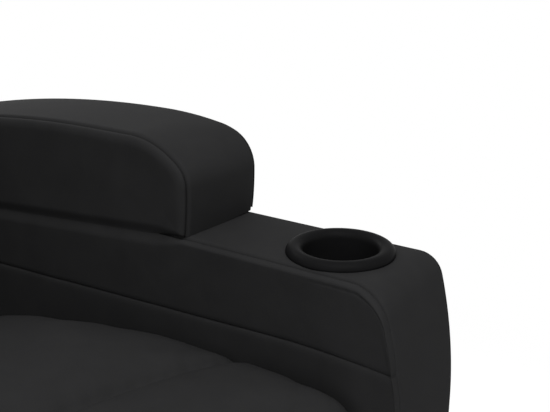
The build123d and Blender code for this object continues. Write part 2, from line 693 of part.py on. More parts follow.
def pillow_section(rear, depth, low, high, shoulder):
    """Cushion cut: flat rear, bowed front, rounded ends; drawn forward and up."""
    edge = rear + depth * 0.72
    middle = (low + high) / 2
    rear_line = Line((rear, low + shoulder / 2), (rear, high - shoulder / 2))
    top = ThreePointArc((rear, high - shoulder / 2), (rear + depth * 0.4, high), (edge, high - shoulder))
    face = ThreePointArc((edge, high - shoulder), (rear + depth, middle), (edge, low + shoulder))
    bottom = ThreePointArc((edge, low + shoulder), (rear + depth * 0.4, low), (rear, low + shoulder / 2))
    return make_face([edge for curve in (rear_line, top, face, bottom) for edge in curve.edges()])


def pillow(half, rear, depth, low, high, shoulder):
    """Crowned cushion with drawn-in sides; drawn with forward as local -Y."""
    sections = []
    for share in CUSHION_STATIONS:
        fall = side_fall(share)
        cut = pillow_section(rear, depth * (1 - BACK_SIDE_FALL * fall), low + shoulder * fall / 2,
                             high - shoulder * fall / 2, shoulder)
        sections.append(Plane.YZ.offset(share * half) * mirror(cut, about=Plane.YZ))
    return loft(sections)


parts["footrest_pad"] = pillow(
    OTTOMAN_HALF, -board_front + RUN_GAP, OTTOMAN_PAD, OTTOMAN_BOTTOM, OTTOMAN_TOP, BACK_CUSHION_SHOULDER
)

# Seat frame
side_rail = block(
    (PLATE_OUT, PLATE_OUT + SEAT_RAIL_WIDTH),
    (SEAT_RAIL_FRONT, SEAT_RAIL_REAR),
    (SEAT_RAIL_BOTTOM, SEAT_RAIL_TOP),
)
plate_outline = make_face(
    Polyline(
        (PLATE_FRONT, PLATE_TOP),
        (PLATE_FRONT, FOOT_PIVOT[1] - SHAFT_R * 2),
        (FOOT_PIVOT[0] - SHAFT_R, PLATE_BOTTOM),
        (PLATE_REAR - EAR_R * 2, PLATE_BOTTOM),
        (PLATE_REAR, PLATE_BOTTOM + EAR_R * 2),
        (PLATE_REAR, PLATE_TOP),
        (BACK_PIVOT[0] + EAR_R, BACK_PIVOT[1]),
        (BACK_PIVOT[0] - EAR_R, BACK_PIVOT[1]),
        (BACK_PIVOT[0] - EAR_R, PLATE_TOP),
        close=True,
    )
)
plate_outline = plate_outline + disc(BACK_PIVOT, EAR_R)
plate_outline = plate_outline - disc(FOOT_PIVOT, SHAFT_R + PIN_PLAY)
plate_outline = plate_outline - disc(twin_pivot, PIN_SEAT) - disc(BACK_PIVOT, BACK_PIN_R + PIN_PLAY)
side_plate = prism(plate_outline, (PLATE_IN, PLATE_OUT))
flange_y = (FOOT_PIVOT[0] - SHAFT_R, PLATE_REAR - EAR_R * 2)
side_plate = side_plate + block((PLATE_IN, RAIL_OUT), flange_y, (PLATE_BOTTOM, PLATE_BOTTOM + FLANGE_T))
seat_bolts = []
for y in SEAT_BOLT_YS:
    rail_out = PLATE_OUT + SEAT_RAIL_WIDTH
    hole = rod((PLATE_IN, rail_out), y, SEAT_BOLT_Z, BOLT_R + HAIR_GAP)
    side_plate = side_plate - hole
    side_rail = side_rail - hole
    seat_bolt = rod((PLATE_IN, rail_out), y, SEAT_BOLT_Z, BOLT_R)
    seat_bolt = seat_bolt + rod((rail_out, rail_out + BOLT_HEAD), y, SEAT_BOLT_Z, BOLT_HEAD_R)
    seat_bolts += both_sides(seat_bolt)
parts["side_plate_left"], parts["side_plate_right"] = both_sides(side_plate)
parts["seat_side_rails"] = group(both_sides(side_rail))
parts["seat_bolts"] = group(seat_bolts)
parts["seat_front_rail"] = block(
    (-PLATE_OUT, PLATE_OUT),
    (SEAT_RAIL_FRONT, SEAT_RAIL_FRONT + SEAT_CROSS_RAIL),
    (FRONT_RAIL_BOTTOM, SEAT_RAIL_TOP),
)
parts["seat_rear_rail"] = block(
    (-PLATE_IN, PLATE_IN),
    (SEAT_RAIL_REAR - SEAT_CROSS_RAIL, SEAT_RAIL_REAR),
    (REAR_RAIL_BOTTOM, SEAT_RAIL_TOP),
)
mid_tube_y = (-MID_TUBE_DEPTH / 2, MID_TUBE_DEPTH / 2)
parts["seat_mid_tube"] = square_tube((-PLATE_IN, PLATE_IN), mid_tube_y, MID_TUBE_Z, "x")

# Glide shoes that ride the base rails
shoe_x = (RAIL_IN - RUN_GAP - SHOE_WALL, RAIL_OUT + RUN_GAP + SHOE_WALL)
shoe_z = (RAIL_TOP - SHOE_GRIP, PLATE_BOTTOM)
shoe_slot_x = (RAIL_IN - RUN_GAP, RAIL_OUT + RUN_GAP)
shoes = []
for y in (SHOE_FRONT_Y, SHOE_REAR_Y):
    shoe_y = (y - SHOE_LENGTH / 2, y + SHOE_LENGTH / 2)
    shoe = block(shoe_x, shoe_y, shoe_z) - block(shoe_slot_x, shoe_y, (shoe_z[0], RAIL_TOP + RUN_GAP))
    shoes += both_sides(shoe)
parts["glide_shoes"] = group(shoes)


# Zigzag seat springs laid from the rear rail to the front rail
def spring(x):
    run = SEAT_RAIL_REAR - SEAT_RAIL_FRONT - SEAT_CROSS_RAIL
    bend_r = run / SPRING_BENDS / 2
    y = SEAT_RAIL_REAR - SEAT_CROSS_RAIL / 2
    straight = SPRING_REACH - bend_r
    edges = [Line((x - straight, y), (x + straight, y))]
    side = 1
    for bend in range(SPRING_BENDS):
        edge_x = x + side * straight
        tip = (edge_x + side * bend_r, y - bend_r)
        edges.append(ThreePointArc((edge_x, y), tip, (edge_x, y - 2 * bend_r)))
        y = y - 2 * bend_r
        side = -side
        edges.append(Line((edge_x, y), (x + side * straight, y)))
    path = Pos(0, 0, SPRING_Z) * Wire([edge for curve in edges for edge in curve.edges()])
    return sweep(Plane(path @ 0, z_dir=path % 0) * Circle(SPRING_WIRE_R), path)


spring_xs = [(number - (SPRING_COUNT - 1) / 2) * SPRING_PITCH for number in range(SPRING_COUNT)]
parts["seat_springs"] = group([spring(x) for x in spring_xs])


# Seat cushion
def cushion_section(fall):
    """Side view of the seat cushion; fall lowers the top and draws in the ends."""
    front = CUSHION_FRONT + CUSHION_DRAW * fall
    rear = CUSHION_REAR - CUSHION_DRAW * fall
    drop = CUSHION_SIDE_FALL * fall
    lip = SEAT_RAIL_FRONT - RUN_GAP
    under = Polyline((rear, CUSHION_BOTTOM), (lip, CUSHION_BOTTOM), (lip, CUSHION_LIP_Z),
                     (front + CUSHION_BULGE, CUSHION_LIP_Z))
    nose_start = (front + CUSHION_BULGE / 2, CUSHION_NOSE_Z - drop)
    nose_end = (front + CUSHION_NOSE_DEPTH, CUSHION_NOSE_TOP_Z - drop)
    nose_mid = (front + CUSHION_NOSE_DEPTH * 0.32, nose_end[1] - (nose_end[1] - nose_start[1]) * 0.3)
    face_mid = (front, (CUSHION_LIP_Z + nose_start[1]) / 2)
    face = ThreePointArc((front + CUSHION_BULGE, CUSHION_LIP_Z), face_mid, nose_start)
    nose = ThreePointArc(nose_start, nose_mid, nose_end)
    channel = (CUSHION_CHANNEL_Y, CUSHION_CHANNEL_Z - drop)
    front_mid = ((nose_end[0] + channel[0]) / 2, CUSHION_CROWN_Z - drop)
    front_crown = ThreePointArc(nose_end, front_mid, channel)
    rear_top = (rear, CUSHION_REAR_Z - drop)
    rear_mid = ((channel[0] * 2 + rear_top[0]) / 3, CUSHION_CROWN_Z - drop)
    rear_crown = ThreePointArc(channel, rear_mid, rear_top)
    back = Line(rear_top, (rear, CUSHION_BOTTOM))
    curves = (under, face, nose, front_crown, rear_crown, back)
    return make_face([edge for curve in curves for edge in curve.edges()])


seat_sections = [
    Plane.YZ.offset(share * CUSHION_HALF) * cushion_section(side_fall(share)) for share in CUSHION_STATIONS
]
parts["seat_cushion"] = loft(seat_sections)


# Actuators
def lost_motion(rate, half_swing):
    """Greatest mismatch between a slotted lever and an even slider, per unit of lever height."""
    end = abs(tan(half_swing) - rate * half_swing)
    inside = rate * acos(1 / sqrt(rate)) - sqrt(rate - 1)
    return max(end, inside)


def slotted_shaft(pivot, drive_x, lever, swing, rate, middle, shaft_x, shaft_r):
    """Cross shaft with two slotted cheeks; middle is the cheeks' angle half way, at rest less half."""
    half_swing = swing / 2
    half_travel = rate * radians(half_swing) * lever
    slot_half = SLIDER_PIN_R + lost_motion(rate, radians(half_swing)) * lever + RUN_GAP
    first = away((0, 0), lever, 0)
    far = hypot(lever, half_travel) + RUN_GAP
    last = away((0, 0), far, 0)
    width = 2 * slot_half
    outline = bar((0, 0), last, width + 2 * LEVER_EDGE) - bar(first, last, width)
    angle = middle - half_swing
    outline = Pos(*pivot) * Rot(0, 0, -angle) * outline
    shaft = rod(shaft_x, *pivot, shaft_r)
    inner = SCREW_RAIL / 2 + RUN_GAP + SLIDER_WALL + RUN_GAP
    for x in (drive_x - inner - LEVER_T, drive_x + inner):
        shaft = shaft + prism(outline, (x, x + LEVER_T))
    return shaft


def slider(drive_x, y, z):
    """Nut block round the screw rail with a stub pin on each side."""
    half = SCREW_RAIL / 2 + RUN_GAP + SLIDER_WALL
    length = (y - SLIDER_LENGTH / 2, y + SLIDER_LENGTH / 2)
    pin_half = half + RUN_GAP + LEVER_T
    nut = block((drive_x - half, drive_x + half), length, (z - half, z + half))
    nut = nut + rod((drive_x - pin_half, drive_x + pin_half), y, z, SLIDER_PIN_R)
    bore = SCREW_RAIL / 2 + RUN_GAP
    return nut - block((drive_x - bore, drive_x + bore), length, (z - bore, z + bore))


def screw_rail(drive_x, y, z):
    half = SCREW_RAIL / 2
    return block((drive_x - half, drive_x + half), y, (z - half, z + half))


def gearmotor(drive_x, y, z, motor_y, motor_side):
    """Gearbox with its motor lying across it toward the side plate."""
    half = GEARBOX_WIDTH / 2
    box = fillet(block((drive_x - half, drive_x + half), y, z).edges().filter_by(Axis.Y), LEVER_EDGE)
    reach = sorted((drive_x + motor_side * half, drive_x + motor_side * (half + MOTOR_LENGTH)))
    return box + rod(reach, motor_y, (z[0] + z[1]) / 2, MOTOR_R)


foot_half_travel = FOOT_LEVER_RATE * radians(FOOT_SWING / 2) * FOOT_LEVER
back_half_travel = BACK_LEVER_RATE * radians(BACK_SWING / 2) * BACK_LEVER
parts["footrest_shaft"] = slotted_shaft(
    FOOT_PIVOT, FOOT_DRIVE_X, FOOT_LEVER, FOOT_SWING, FOOT_LEVER_RATE, -90,
    (-PLATE_OUT - SHAFT_END, PLATE_OUT + SHAFT_END), SHAFT_R,
)
parts["footrest_slider"] = slider(FOOT_DRIVE_X, FOOT_PIVOT[0] + foot_half_travel, FOOT_SCREW_Z)
parts["footrest_screw_rail"] = screw_rail(FOOT_DRIVE_X, (FOOT_RAIL_END, FOOT_GEARBOX_FRONT), FOOT_SCREW_Z)
foot_gearbox_y = (FOOT_GEARBOX_FRONT, FOOT_GEARBOX_FRONT + GEARBOX_LENGTH)
foot_gearbox_z = (FOOT_GEARBOX_TOP - FOOT_GEARBOX_HEIGHT, FOOT_GEARBOX_TOP)
parts["footrest_motor"] = gearmotor(
    FOOT_DRIVE_X, foot_gearbox_y, foot_gearbox_z, foot_gearbox_y[1] - MOTOR_SET_BACK, -1
)
back_spigot_x = (-PLATE_OUT - SHAFT_END, PLATE_OUT + SHAFT_END)
back_shaft = slotted_shaft(
    BACK_PIVOT, BACK_DRIVE_X, BACK_LEVER, BACK_SWING, BACK_LEVER_RATE, -90,
    (-LAYER_ONE[0], LAYER_ONE[0]), SHAFT_R,
)
parts["back_shaft"] = back_shaft + rod(back_spigot_x, *BACK_PIVOT, BACK_PIN_R)
parts["back_slider"] = slider(BACK_DRIVE_X, BACK_PIVOT[0] + back_half_travel, BACK_SCREW_Z)
parts["back_screw_rail"] = screw_rail(BACK_DRIVE_X, (BACK_GEARBOX_REAR, BACK_RAIL_END), BACK_SCREW_Z)
back_gearbox_y = (BACK_GEARBOX_REAR - GEARBOX_LENGTH, BACK_GEARBOX_REAR)
back_gearbox_z = (MID_TUBE_Z[1], MID_TUBE_Z[1] + BACK_GEARBOX_HEIGHT)
parts["back_motor"] = gearmotor(
    BACK_DRIVE_X, back_gearbox_y, back_gearbox_z, back_gearbox_y[0] + MOTOR_SET_BACK, 1
)


# Back, drawn upright about its pivot with rear as local +Y, then leaned
def leaned(solid):
    return Pos(0, *BACK_PIVOT) * Rot(-BACK_LEAN, 0, 0) * solid


def back_block(x, forward, up):
    return leaned(block(x, (-forward[1], -forward[0]), up))


stile_depth = (STILE_REAR, STILE_FRONT)
stile = back_block((LAYER_ONE[1], STILE_OUT), stile_depth, (STILE_BOTTOM, STILE_TOP))
parts["back_stiles"] = group(both_sides(stile))
bracket = bar((0, 0), (0, BACK_BRACKET_TOP), BACK_BRACKET_WIDTH) - disc((0, 0), BACK_PIN_R + HAIR_GAP)
parts["back_brackets"] = group(both_sides(leaned(prism(bracket, LAYER_ONE))))
back_rails = []
for half, low in (
    (LAYER_ONE[0], BACK_RAIL_BOTTOM),
    (LAYER_ONE[1], BACK_RAIL_MIDDLE),
    (LAYER_ONE[1], STILE_TOP - BACK_RAIL),
):
    back_rails.append(back_block((-half, half), stile_depth, (low, low + BACK_RAIL)))
parts["back_rails"] = group(back_rails)
straps = []
for low in WEBBING_STARTS:
    strap_z = (low, low + WEBBING_WIDTH)
    straps.append(back_block((-STILE_OUT, STILE_OUT), (STILE_FRONT, WEBBING_FRONT), strap_z))
parts["back_webbing"] = group(straps)


def shell_outline():
    """Side view of the rear shell: open front, rounded top rear corner, gently swollen rear."""
    rear = -SHELL_REAR
    inner = rear - SHELL_REAR_WALL
    corner_start = (rear, SHELL_TOP - SHELL_CORNER)
    corner, corner_end = turned(corner_start, 90, SHELL_CORNER, 90)
    foot = (rear - SHELL_SWELL, SHELL_BOTTOM)
    middle = (rear + SHELL_SWELL / 4, (SHELL_BOTTOM + SHELL_TOP) / 2)
    swell = ThreePointArc(foot, middle, corner_start)
    front = -WEBBING_FRONT
    rest = Polyline(corner_end, (front, SHELL_TOP), (front, SHELL_SIDE_BOTTOM), (inner, SHELL_SIDE_BOTTOM),
                    (inner, SHELL_BOTTOM), foot)
    return make_face([*swell.edges(), *corner.edges(), *rest.edges()])


shell = prism(shell_outline(), (-BACK_HALF, BACK_HALF))
shell_hollow = block(
    (-STILE_OUT - RUN_GAP, STILE_OUT + RUN_GAP),
    (-WEBBING_FRONT, -SHELL_REAR - SHELL_REAR_WALL),
    (SHELL_SIDE_BOTTOM, SHELL_TOP - SHELL_TOP_WALL),
)
parts["back_shell"] = leaned(shell - shell_hollow)
cushion_names = ("back_cushion_lower", "back_cushion_middle", "back_cushion_head")
for name, (low, high), depth in zip(cushion_names, BACK_CUSHION_BREAKS, BACK_CUSHION_DEPTHS):
    cushion = pillow(BACK_HALF, BACK_CUSHION_REAR, depth, low, high, BACK_CUSHION_SHOULDER)
    parts[name] = leaned(cushion)

# The origin is on the floor below the middle of the whole chair
whole = Compound([solid for part in parts.values() for solid in part.solids()]).bounding_box()
Y_SHIFT = -(whole.min.Y + whole.max.Y) / 2
for name, part in parts.items():
    placed = Pos(0, Y_SHIFT, 0) * Compound(list(part.solids()))
    export_step(placed, f"parts/{name}.step")
size = whole.size
print(f"{len(parts)} pieces, {size.X:.1f} x {size.Y:.1f} x {size.Z:.1f}, shift {Y_SHIFT:.3f}")
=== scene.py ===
import json
from math import radians, tau

import bmesh
import bpy
import numpy as np
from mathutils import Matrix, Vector


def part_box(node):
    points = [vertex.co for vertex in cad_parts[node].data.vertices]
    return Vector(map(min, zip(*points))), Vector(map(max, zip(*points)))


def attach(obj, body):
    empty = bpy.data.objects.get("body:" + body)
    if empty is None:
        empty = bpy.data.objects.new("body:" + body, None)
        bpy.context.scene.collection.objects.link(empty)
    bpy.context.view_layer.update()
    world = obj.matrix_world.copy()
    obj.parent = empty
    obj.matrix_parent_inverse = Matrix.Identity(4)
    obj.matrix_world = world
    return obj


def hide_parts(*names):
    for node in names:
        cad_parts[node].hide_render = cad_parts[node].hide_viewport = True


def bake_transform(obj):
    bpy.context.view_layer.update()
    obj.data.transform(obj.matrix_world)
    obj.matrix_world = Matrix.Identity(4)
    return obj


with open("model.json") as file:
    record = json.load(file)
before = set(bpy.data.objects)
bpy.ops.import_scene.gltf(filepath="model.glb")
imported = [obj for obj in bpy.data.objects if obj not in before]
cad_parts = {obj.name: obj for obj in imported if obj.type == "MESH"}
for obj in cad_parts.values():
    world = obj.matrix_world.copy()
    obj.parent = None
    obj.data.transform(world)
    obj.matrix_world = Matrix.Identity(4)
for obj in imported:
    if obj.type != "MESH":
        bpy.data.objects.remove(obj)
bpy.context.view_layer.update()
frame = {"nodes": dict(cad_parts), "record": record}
scene = bpy.context.scene
MM = 0.001


# The faux leather of every padded piece: black, soft and matte, with a fine pebbled skin.
# It is cut in panels, sewn face to face and turned, so each edge rolls into its seam.
def feed(tree, sockets, values):
    """Link each of a node's inputs to another node's output, or give it a value of its own."""
    for socket, value in zip(sockets, values):
        if isinstance(value, bpy.types.NodeSocket):
            tree.links.new(value, socket)
        else:
            socket.default_value = value


def give(tree, node, **values):
    """Fill a node's named inputs."""
    feed(tree, [node.inputs[label.replace("_", " ")] for label in values], values.values())
    return node


def add_node(tree, kind, **values):
    return give(tree, tree.nodes.new(f"ShaderNode{kind}"), **values)


def worked_out(tree, operation, *values):
    """Result of a sum over numbers and other nodes' outputs."""
    node = add_node(tree, "Math")
    node.operation = operation
    feed(tree, node.inputs, values)
    return node.outputs[0]


def effect(name, inputs, build):
    """Shader group whose height and tone are built from its inputs and the place on an object."""
    tree = bpy.data.node_groups.new(name, "ShaderNodeTree")
    for label, value in inputs.items():
        kind = "NodeSocketFloat" if isinstance(value, float) else "NodeSocketVector"
        tree.interface.new_socket(label, in_out="INPUT", socket_type=kind).default_value = value
    for label in ("Height", "Tone"):
        tree.interface.new_socket(label, in_out="OUTPUT", socket_type="NodeSocketFloat")
    given = tree.nodes.new("NodeGroupInput").outputs
    end = tree.nodes.new("NodeGroupOutput")
    place = tree.nodes.new("ShaderNodeTexCoord").outputs["Object"]
    feed(tree, end.inputs, build(tree, place, given))
    return tree


def noise(tree, place, scale, **values):
    return add_node(tree, "TexNoise", Vector=place, Scale=scale, **values).outputs["Fac"]


def pebbled(tree, place, given):
    """Fine pebbled skin with slow, faint creasing."""
    cells = add_node(tree, "TexVoronoi", Vector=place, Scale=given["Pebbles"]).outputs["Distance"]
    fine = noise(tree, place, given["Pebbles"], Detail=3.0, Roughness=0.6)
    slow = noise(tree, place, given["Creases"], Detail=4.0, Roughness=0.55, Distortion=0.6)
    skin = worked_out(tree, "MULTIPLY_ADD", cells, 0.6, fine)
    return worked_out(tree, "MULTIPLY_ADD", slow, 1.4, skin), slow


def surface(name, group, settings, dark, light, rough, bump, **shader_values):
    """Principled surface whose colour and roughness follow the group's tone and bump its height."""
    material = bpy.data.materials.new(name)
    material.use_nodes = True
    tree = material.node_tree
    node = tree.nodes.new("ShaderNodeGroup")
    node.node_tree = group
    give(tree, node, **settings)
    tone = node.outputs["Tone"]
    colour = tree.nodes.new("ShaderNodeMix")
    colour.data_type = "RGBA"
    give(tree, colour, Factor=tone, A=(*dark, 1), B=(*light, 1))
    spread = add_node(tree, "MapRange", Value=tone, To_Min=rough[0], To_Max=rough[1])
    relief = add_node(tree, "Bump", Height=node.outputs["Height"], Strength=bump[0], Distance=bump[1])
    give(
        tree, tree.nodes["Principled BSDF"], Base_Color=colour.outputs["Result"],
        Roughness=spread.outputs["Result"], Normal=relief.outputs["Normal"], **shader_values
    )
    return material


skin = effect("pebbled_skin", {"Pebbles": 900.0, "Creases": 24.0}, pebbled)
leather = surface(
    "black_leather", skin, {}, dark=(0.0115, 0.0115, 0.0118), light=(0.0162, 0.0162, 0.0165),
    rough=(0.72, 0.88), bump=(0.22, 0.0004), Specular_IOR_Level=0.022
)


# The arms: each a padded box with an inner panel, a strip of boxing over its front and deck, and
# an outer panel, all in black faux leather over foam and board, sewn along the two side outlines.
SIDES = ((1, "left"), (-1, "right"))
ARM_SEAM_IN = 268 * MM
ARM_SEAM_OUT = 383 * MM
ARM_POINTS = 560
ARM_CROWN = 1.0 * MM
DECK_CORNER_IN = (42 * MM, 75)
DECK_CORNER_OUT = (27 * MM, 75)
DECK_OUT_DROP = 2.5 * MM
FRONT_SWELL = (528 * MM, 15)
ARM_FOOT_CORNER = 6 * MM
ARM_REAR_CORNER = 14 * MM
arm_low, arm_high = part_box("arm_cover_left")


def trace(start, heading, moves, step=1 * MM):
    """Points along runs and right-hand turns: a move is a length, or a radius and its degrees."""
    points = [np.array(start, float)]
    direction = radians(heading)
    for move in moves:
        radius, turn = move if isinstance(move, tuple) else (None, 0)
        length = radius * radians(turn) if turn else move
        pieces = max(int(round(length / step)), 3 if turn else 1)
        for _ in range(pieces):
            direction -= radians(turn) / pieces / 2
            ahead = np.array([np.cos(direction), np.sin(direction)])
            points.append(points[-1] + length / pieces * ahead)
            direction -= radians(turn) / pieces / 2
    return np.array(points)


def spaced(points, count, closed):
    """The same line with its points set at even distances."""
    line = np.vstack([points, points[:1]]) if closed else points
    run = np.concatenate([[0], np.cumsum(np.linalg.norm(np.diff(line, axis=0), axis=1))])
    at = np.linspace(0, run[-1], count, endpoint=not closed)
    return np.column_stack([np.interp(at, run, line[:, axis]) for axis in (0, 1)])


def outward(points, closed):
    """Unit normals on the left of a traced outline, which is its outer side."""
    if closed:
        along = np.roll(points, -1, axis=0) - np.roll(points, 1, axis=0)
    else:
        along = np.gradient(points, axis=0)
    normal = along[:, ::-1] * (-1, 1)
    return normal / np.linalg.norm(normal, axis=1, keepdims=True)


def make_piece(name, points, faces, material):
    mesh = bpy.data.meshes.new(name)
    mesh.from_pydata([tuple(point) for point in points], [], faces)
    mesh.validate()
    mesh.polygons.foreach_set("use_smooth", [True] * len(mesh.polygons))
    mesh.materials.append(material)
    piece = bpy.data.objects.new(name, mesh)
    scene.collection.objects.link(piece)
    return piece


def grid_faces(rows, columns, wrap):
    """Quads over a grid of points; wrap joins the last column to the first."""
    at = np.arange(rows * columns).reshape(rows, columns)
    if wrap:
        at = np.column_stack([at, at[:, 0]])
    quads = np.stack([at[:-1, :-1], at[:-1, 1:], at[1:, 1:], at[1:, :-1]], axis=-1)
    return quads.reshape(-1, 4).tolist()


def rolled(share):
    """Quarter-round rise from nought at a seam to one where the roll ends."""
    share = np.clip(share, 0, 1)
    return np.sqrt(1 - (1 - share) ** 2)


def eased(share):
    """Smooth rise from nought to one."""
    share = np.clip(share, 0, 1)
    return share * share * (3 - 2 * share)


def ripple(points, length, seed):
    """Slow unevenness of stuffed leather, between minus one and one."""
    phase = np.random.default_rng(seed).uniform(0, tau, 6)
    a, b = points[:, :2].T / length * tau
    waves = np.sin(a + phase[0]) * np.sin(b * 0.8 + phase[1]) + np.sin(1.7 * a + 0.9 * b + phase[2])
    waves += 0.6 * np.sin(2.3 * b - 0.7 * a + phase[3])
    waves += 0.5 * np.sin(3.1 * a + phase[4] + np.sin(b + phase[5]))
    return waves / 3.1


def hollows(depth, length, seed, run):
    """Relief of slow hollows in a stuffed panel, which fade out over a run to its edge."""
    return lambda edge, fold, points: depth * (ripple(points, length, seed) - 1) * eased(edge / run)


def closing_shares(count, power):
    """Shares from above nought to one, closer together towards one."""
    return 1 - (1 - np.linspace(0, 1, count + 1)[1:]) ** power


BEAD_ANGLES = np.radians([-53, -40, -26, -12, 2, 16, 30, 44, 58, 72, 82, 90])
BEAD_TOP = 3.0 * MM
FOLD_TOP = 4.2 * MM
BEAD_GAP = 2.4 * MM
FOLD_LAP = 1.0 * MM
AFTER_BEAD = np.array([1.2, 2.4, 3.2, 4.0, 5.2, 7.5]) * MM
# the share of a bead's depth at which the face's relief starts
BEAD_FACE = 0.6
SIDE_BEAD = 4.0 * MM
FOLD_BEAD = 14 * MM


def panel_points(outline, spine, shares, soft, bead, puff, relief):
    """Sewn panel in rings from an outline to a spine, its rim rolled over in a bead.

    soft is nought at a tight seam and one at a loose fold; relief(edge, fold, points) is added.
    """
    bead = bead + (FOLD_BEAD - bead) * soft
    top = BEAD_TOP + (FOLD_TOP - BEAD_TOP) * soft
    along = np.clip(outline[:, 0], *spine[0])
    toward = np.column_stack([along, spine[1](along)]) - outline
    reach = np.linalg.norm(toward, axis=1)
    toward /= reach[:, None]
    gap = BEAD_GAP - (BEAD_GAP + FOLD_LAP) * soft
    rings = []
    for angle in BEAD_ANGLES:
        turn = np.maximum(angle, BEAD_ANGLES[0] * (1 - soft))
        share = 1 - np.cos(turn)
        rise = np.sin(turn) * (1 - soft) + eased(share) * soft
        rings.append((gap + bead * share, top + (puff - top) * rise))
    last = rings[-1][0]
    rings += [(last + further, puff) for further in AFTER_BEAD]
    last = rings[-1][0]
    rings += [(last + (reach - last).clip(0) * share, puff) for share in shares]
    rows = []
    for distance, swell in rings:
        distance = np.minimum(distance, reach)
        flat = outline + toward * distance[:, None]
        edge = (distance - bead * BEAD_FACE).clip(0)
        rows.append(np.column_stack([flat, swell + relief(edge, reach - distance, flat)]))
    return np.array(rows)


BOXING_SINK = 6.5 * MM
BOXING_ROLL = 4.0 * MM
BOXING_EDGE = np.array([0, 0.15, 0.45, 0.9, 1.5, 2.3, 3.4, 5.2, 8]) * MM
BOXING_MIDDLE = 21


def boxing_points(inner, outer, closed, low, high, crown, sag):
    """Strip from an inner to an outer outline, rolled into both seams and a little crowned."""
    middle = np.linspace(low + BOXING_EDGE[-1], high - BOXING_EDGE[-1], BOXING_MIDDLE)[1:-1]
    across = np.concatenate([low + BOXING_EDGE, middle, high - BOXING_EDGE[::-1]])
    rows = []
    for x in across:
        share = (x - low) / (high - low)
        outline = inner + (outer - inner) * share
        lift = crown * 4 * share * (1 - share)
        lift -= BOXING_SINK * (1 - rolled(min(x - low, high - x) / BOXING_ROLL))
        place = outline + outward(outline, closed) * (lift + sag(outline, x))[:, None]
        rows.append(np.column_stack([place, np.full(len(outline), x)]))
    return np.array(rows)


def turned(turns):
    """Run and rise of right-hand turns that follow one another from straight up."""
    heading, run, rise = radians(90), 0.0, 0.0
    for radius, degrees in turns:
        after = heading - radians(degrees)
        run += radius * (np.sin(heading) - np.sin(after))
        rise += radius * (np.cos(after) - np.cos(heading))
        heading = after
    return run, rise


def arm_outline(deck_corner, deck_drop):
    """Side outline of an arm from its front foot, up the front, over the deck and down the rear."""
    run, rise = turned((FRONT_SWELL, deck_corner))
    height = arm_high.z - arm_low.z - deck_drop
    depth = arm_high.y - arm_low.y
    foot = (ARM_FOOT_CORNER, 90)
    moves = [
        height - rise - ARM_FOOT_CORNER, FRONT_SWELL, deck_corner,
        depth - run - ARM_REAR_CORNER, (ARM_REAR_CORNER, 90),
        height - ARM_REAR_CORNER - ARM_FOOT_CORNER, foot,
        depth - 2 * ARM_FOOT_CORNER, foot,
    ]
    points = trace((arm_low.y, arm_low.z + ARM_FOOT_CORNER), 90, moves)[:-1]
    return spaced(points, ARM_POINTS, True)


CREASE_DEPTH = 2.2 * MM
CREASE_SHOULDER = 7 * MM
CREASE_FADE = 14 * MM
CREASE_ENDS = (9 * MM, 30 * MM)
CREASE_TOP = (-326 * MM, 520.5 * MM)
CREASE_FALL = 0.042
CREASE_DIP = 0.36
FOLD_START = 5 * MM
FOLD_FALL = 0.08
FOLD_RUN = 50 * MM
bolster_low, bolster_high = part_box("bolster_cover_left")


def crease_line(y):
    """Height of the sewn crease along the inner panel: highest by the cup, falling rearward."""
    past = y - CREASE_TOP[0]
    return CREASE_TOP[1] - CREASE_FALL * np.maximum(past, 0) - CREASE_DIP * np.minimum(past, 0) ** 2


def fold_line(y):
    """Height where the bolster's inner panel meets the arm's: on the deck, then falling rearward."""
    return arm_high.z - FOLD_FALL * np.maximum(y - bolster_low.y - FOLD_START, 0)


# the front seam's stitching and puckers, each as depth, distance from the seam and width
STITCH = (0.5 * MM, 6.5 * MM, 1.3 * MM)
PUCKER = (0.35 * MM, 5 * MM, 4 * MM)
PUCKER_LENGTH = 13 * MM
STITCH_END = (-330 * MM, 300 * MM)
STITCH_FADE = 50 * MM
inner_hollows = hollows(depth=0.5 * MM, length=0.21, seed=3, run=0.03)
outer_hollows = hollows(depth=0.4 * MM, length=0.26, seed=8, run=0.04)


def inner_arm_relief(edge, fold, points):
    """Sewn crease, a faint stitched line with puckers by the front seam, and slow hollows."""
    front = eased((STITCH_END[0] - points[:, 0]) / STITCH_FADE) * (points[:, 1] > STITCH_END[1])

    def band(depth, at, width):
        return depth * np.exp(-(((edge - at) / width) ** 2)) * front

    crease = CREASE_DEPTH * (1 - rolled(fold / CREASE_SHOULDER)) * eased(edge / CREASE_FADE)
    wave = np.sin((points[:, 1] - points[:, 0]) / PUCKER_LENGTH * tau)
    return inner_hollows(edge, fold, points) - crease - band(*STITCH) - band(*PUCKER) * wave


DECK_SAG = 1.0 * MM
DECK_SAG_R = 66 * MM
DECK_EDGE = 6 * MM
CUP_HOLE = 49 * MM
CUP_HOLE_DEPTH = 20 * MM
cup_low, cup_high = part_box("cup_holder_left")
cup_centre = (cup_low + cup_high) / 2


def deck_sag(outline, x):
    """Deck leather pressed down a little round the cup holder's flange."""
    away = np.hypot(outline[:, 0] - cup_centre.y, x - cup_centre.x)
    on_deck = outline[:, 1] > arm_high.z - DECK_EDGE
    return np.where(on_deck, -DECK_SAG * np.exp(-((away / DECK_SAG_R) ** 6)), 0.0)


def sided(rows, side):
    """Points given as Y, Z and distance from the middle, set on one side of the chair."""
    return rows.reshape(-1, 3)[:, [2, 0, 1]] * (side, 1, 1)


def facing(faces, way):
    return faces if way > 0 else [face[::-1] for face in faces]


def on_plane(rows, plane, direction):
    return rows * (1, 1, direction) + (0, 0, plane)


def set_panel(panel, seam, way, side):
    """Points and faces of a panel on its seam's plane, looking inward or outward."""
    faces = facing(grid_faces(*panel.shape[:2], True), side * way)
    return sided(on_plane(panel, seam, way), side), faces


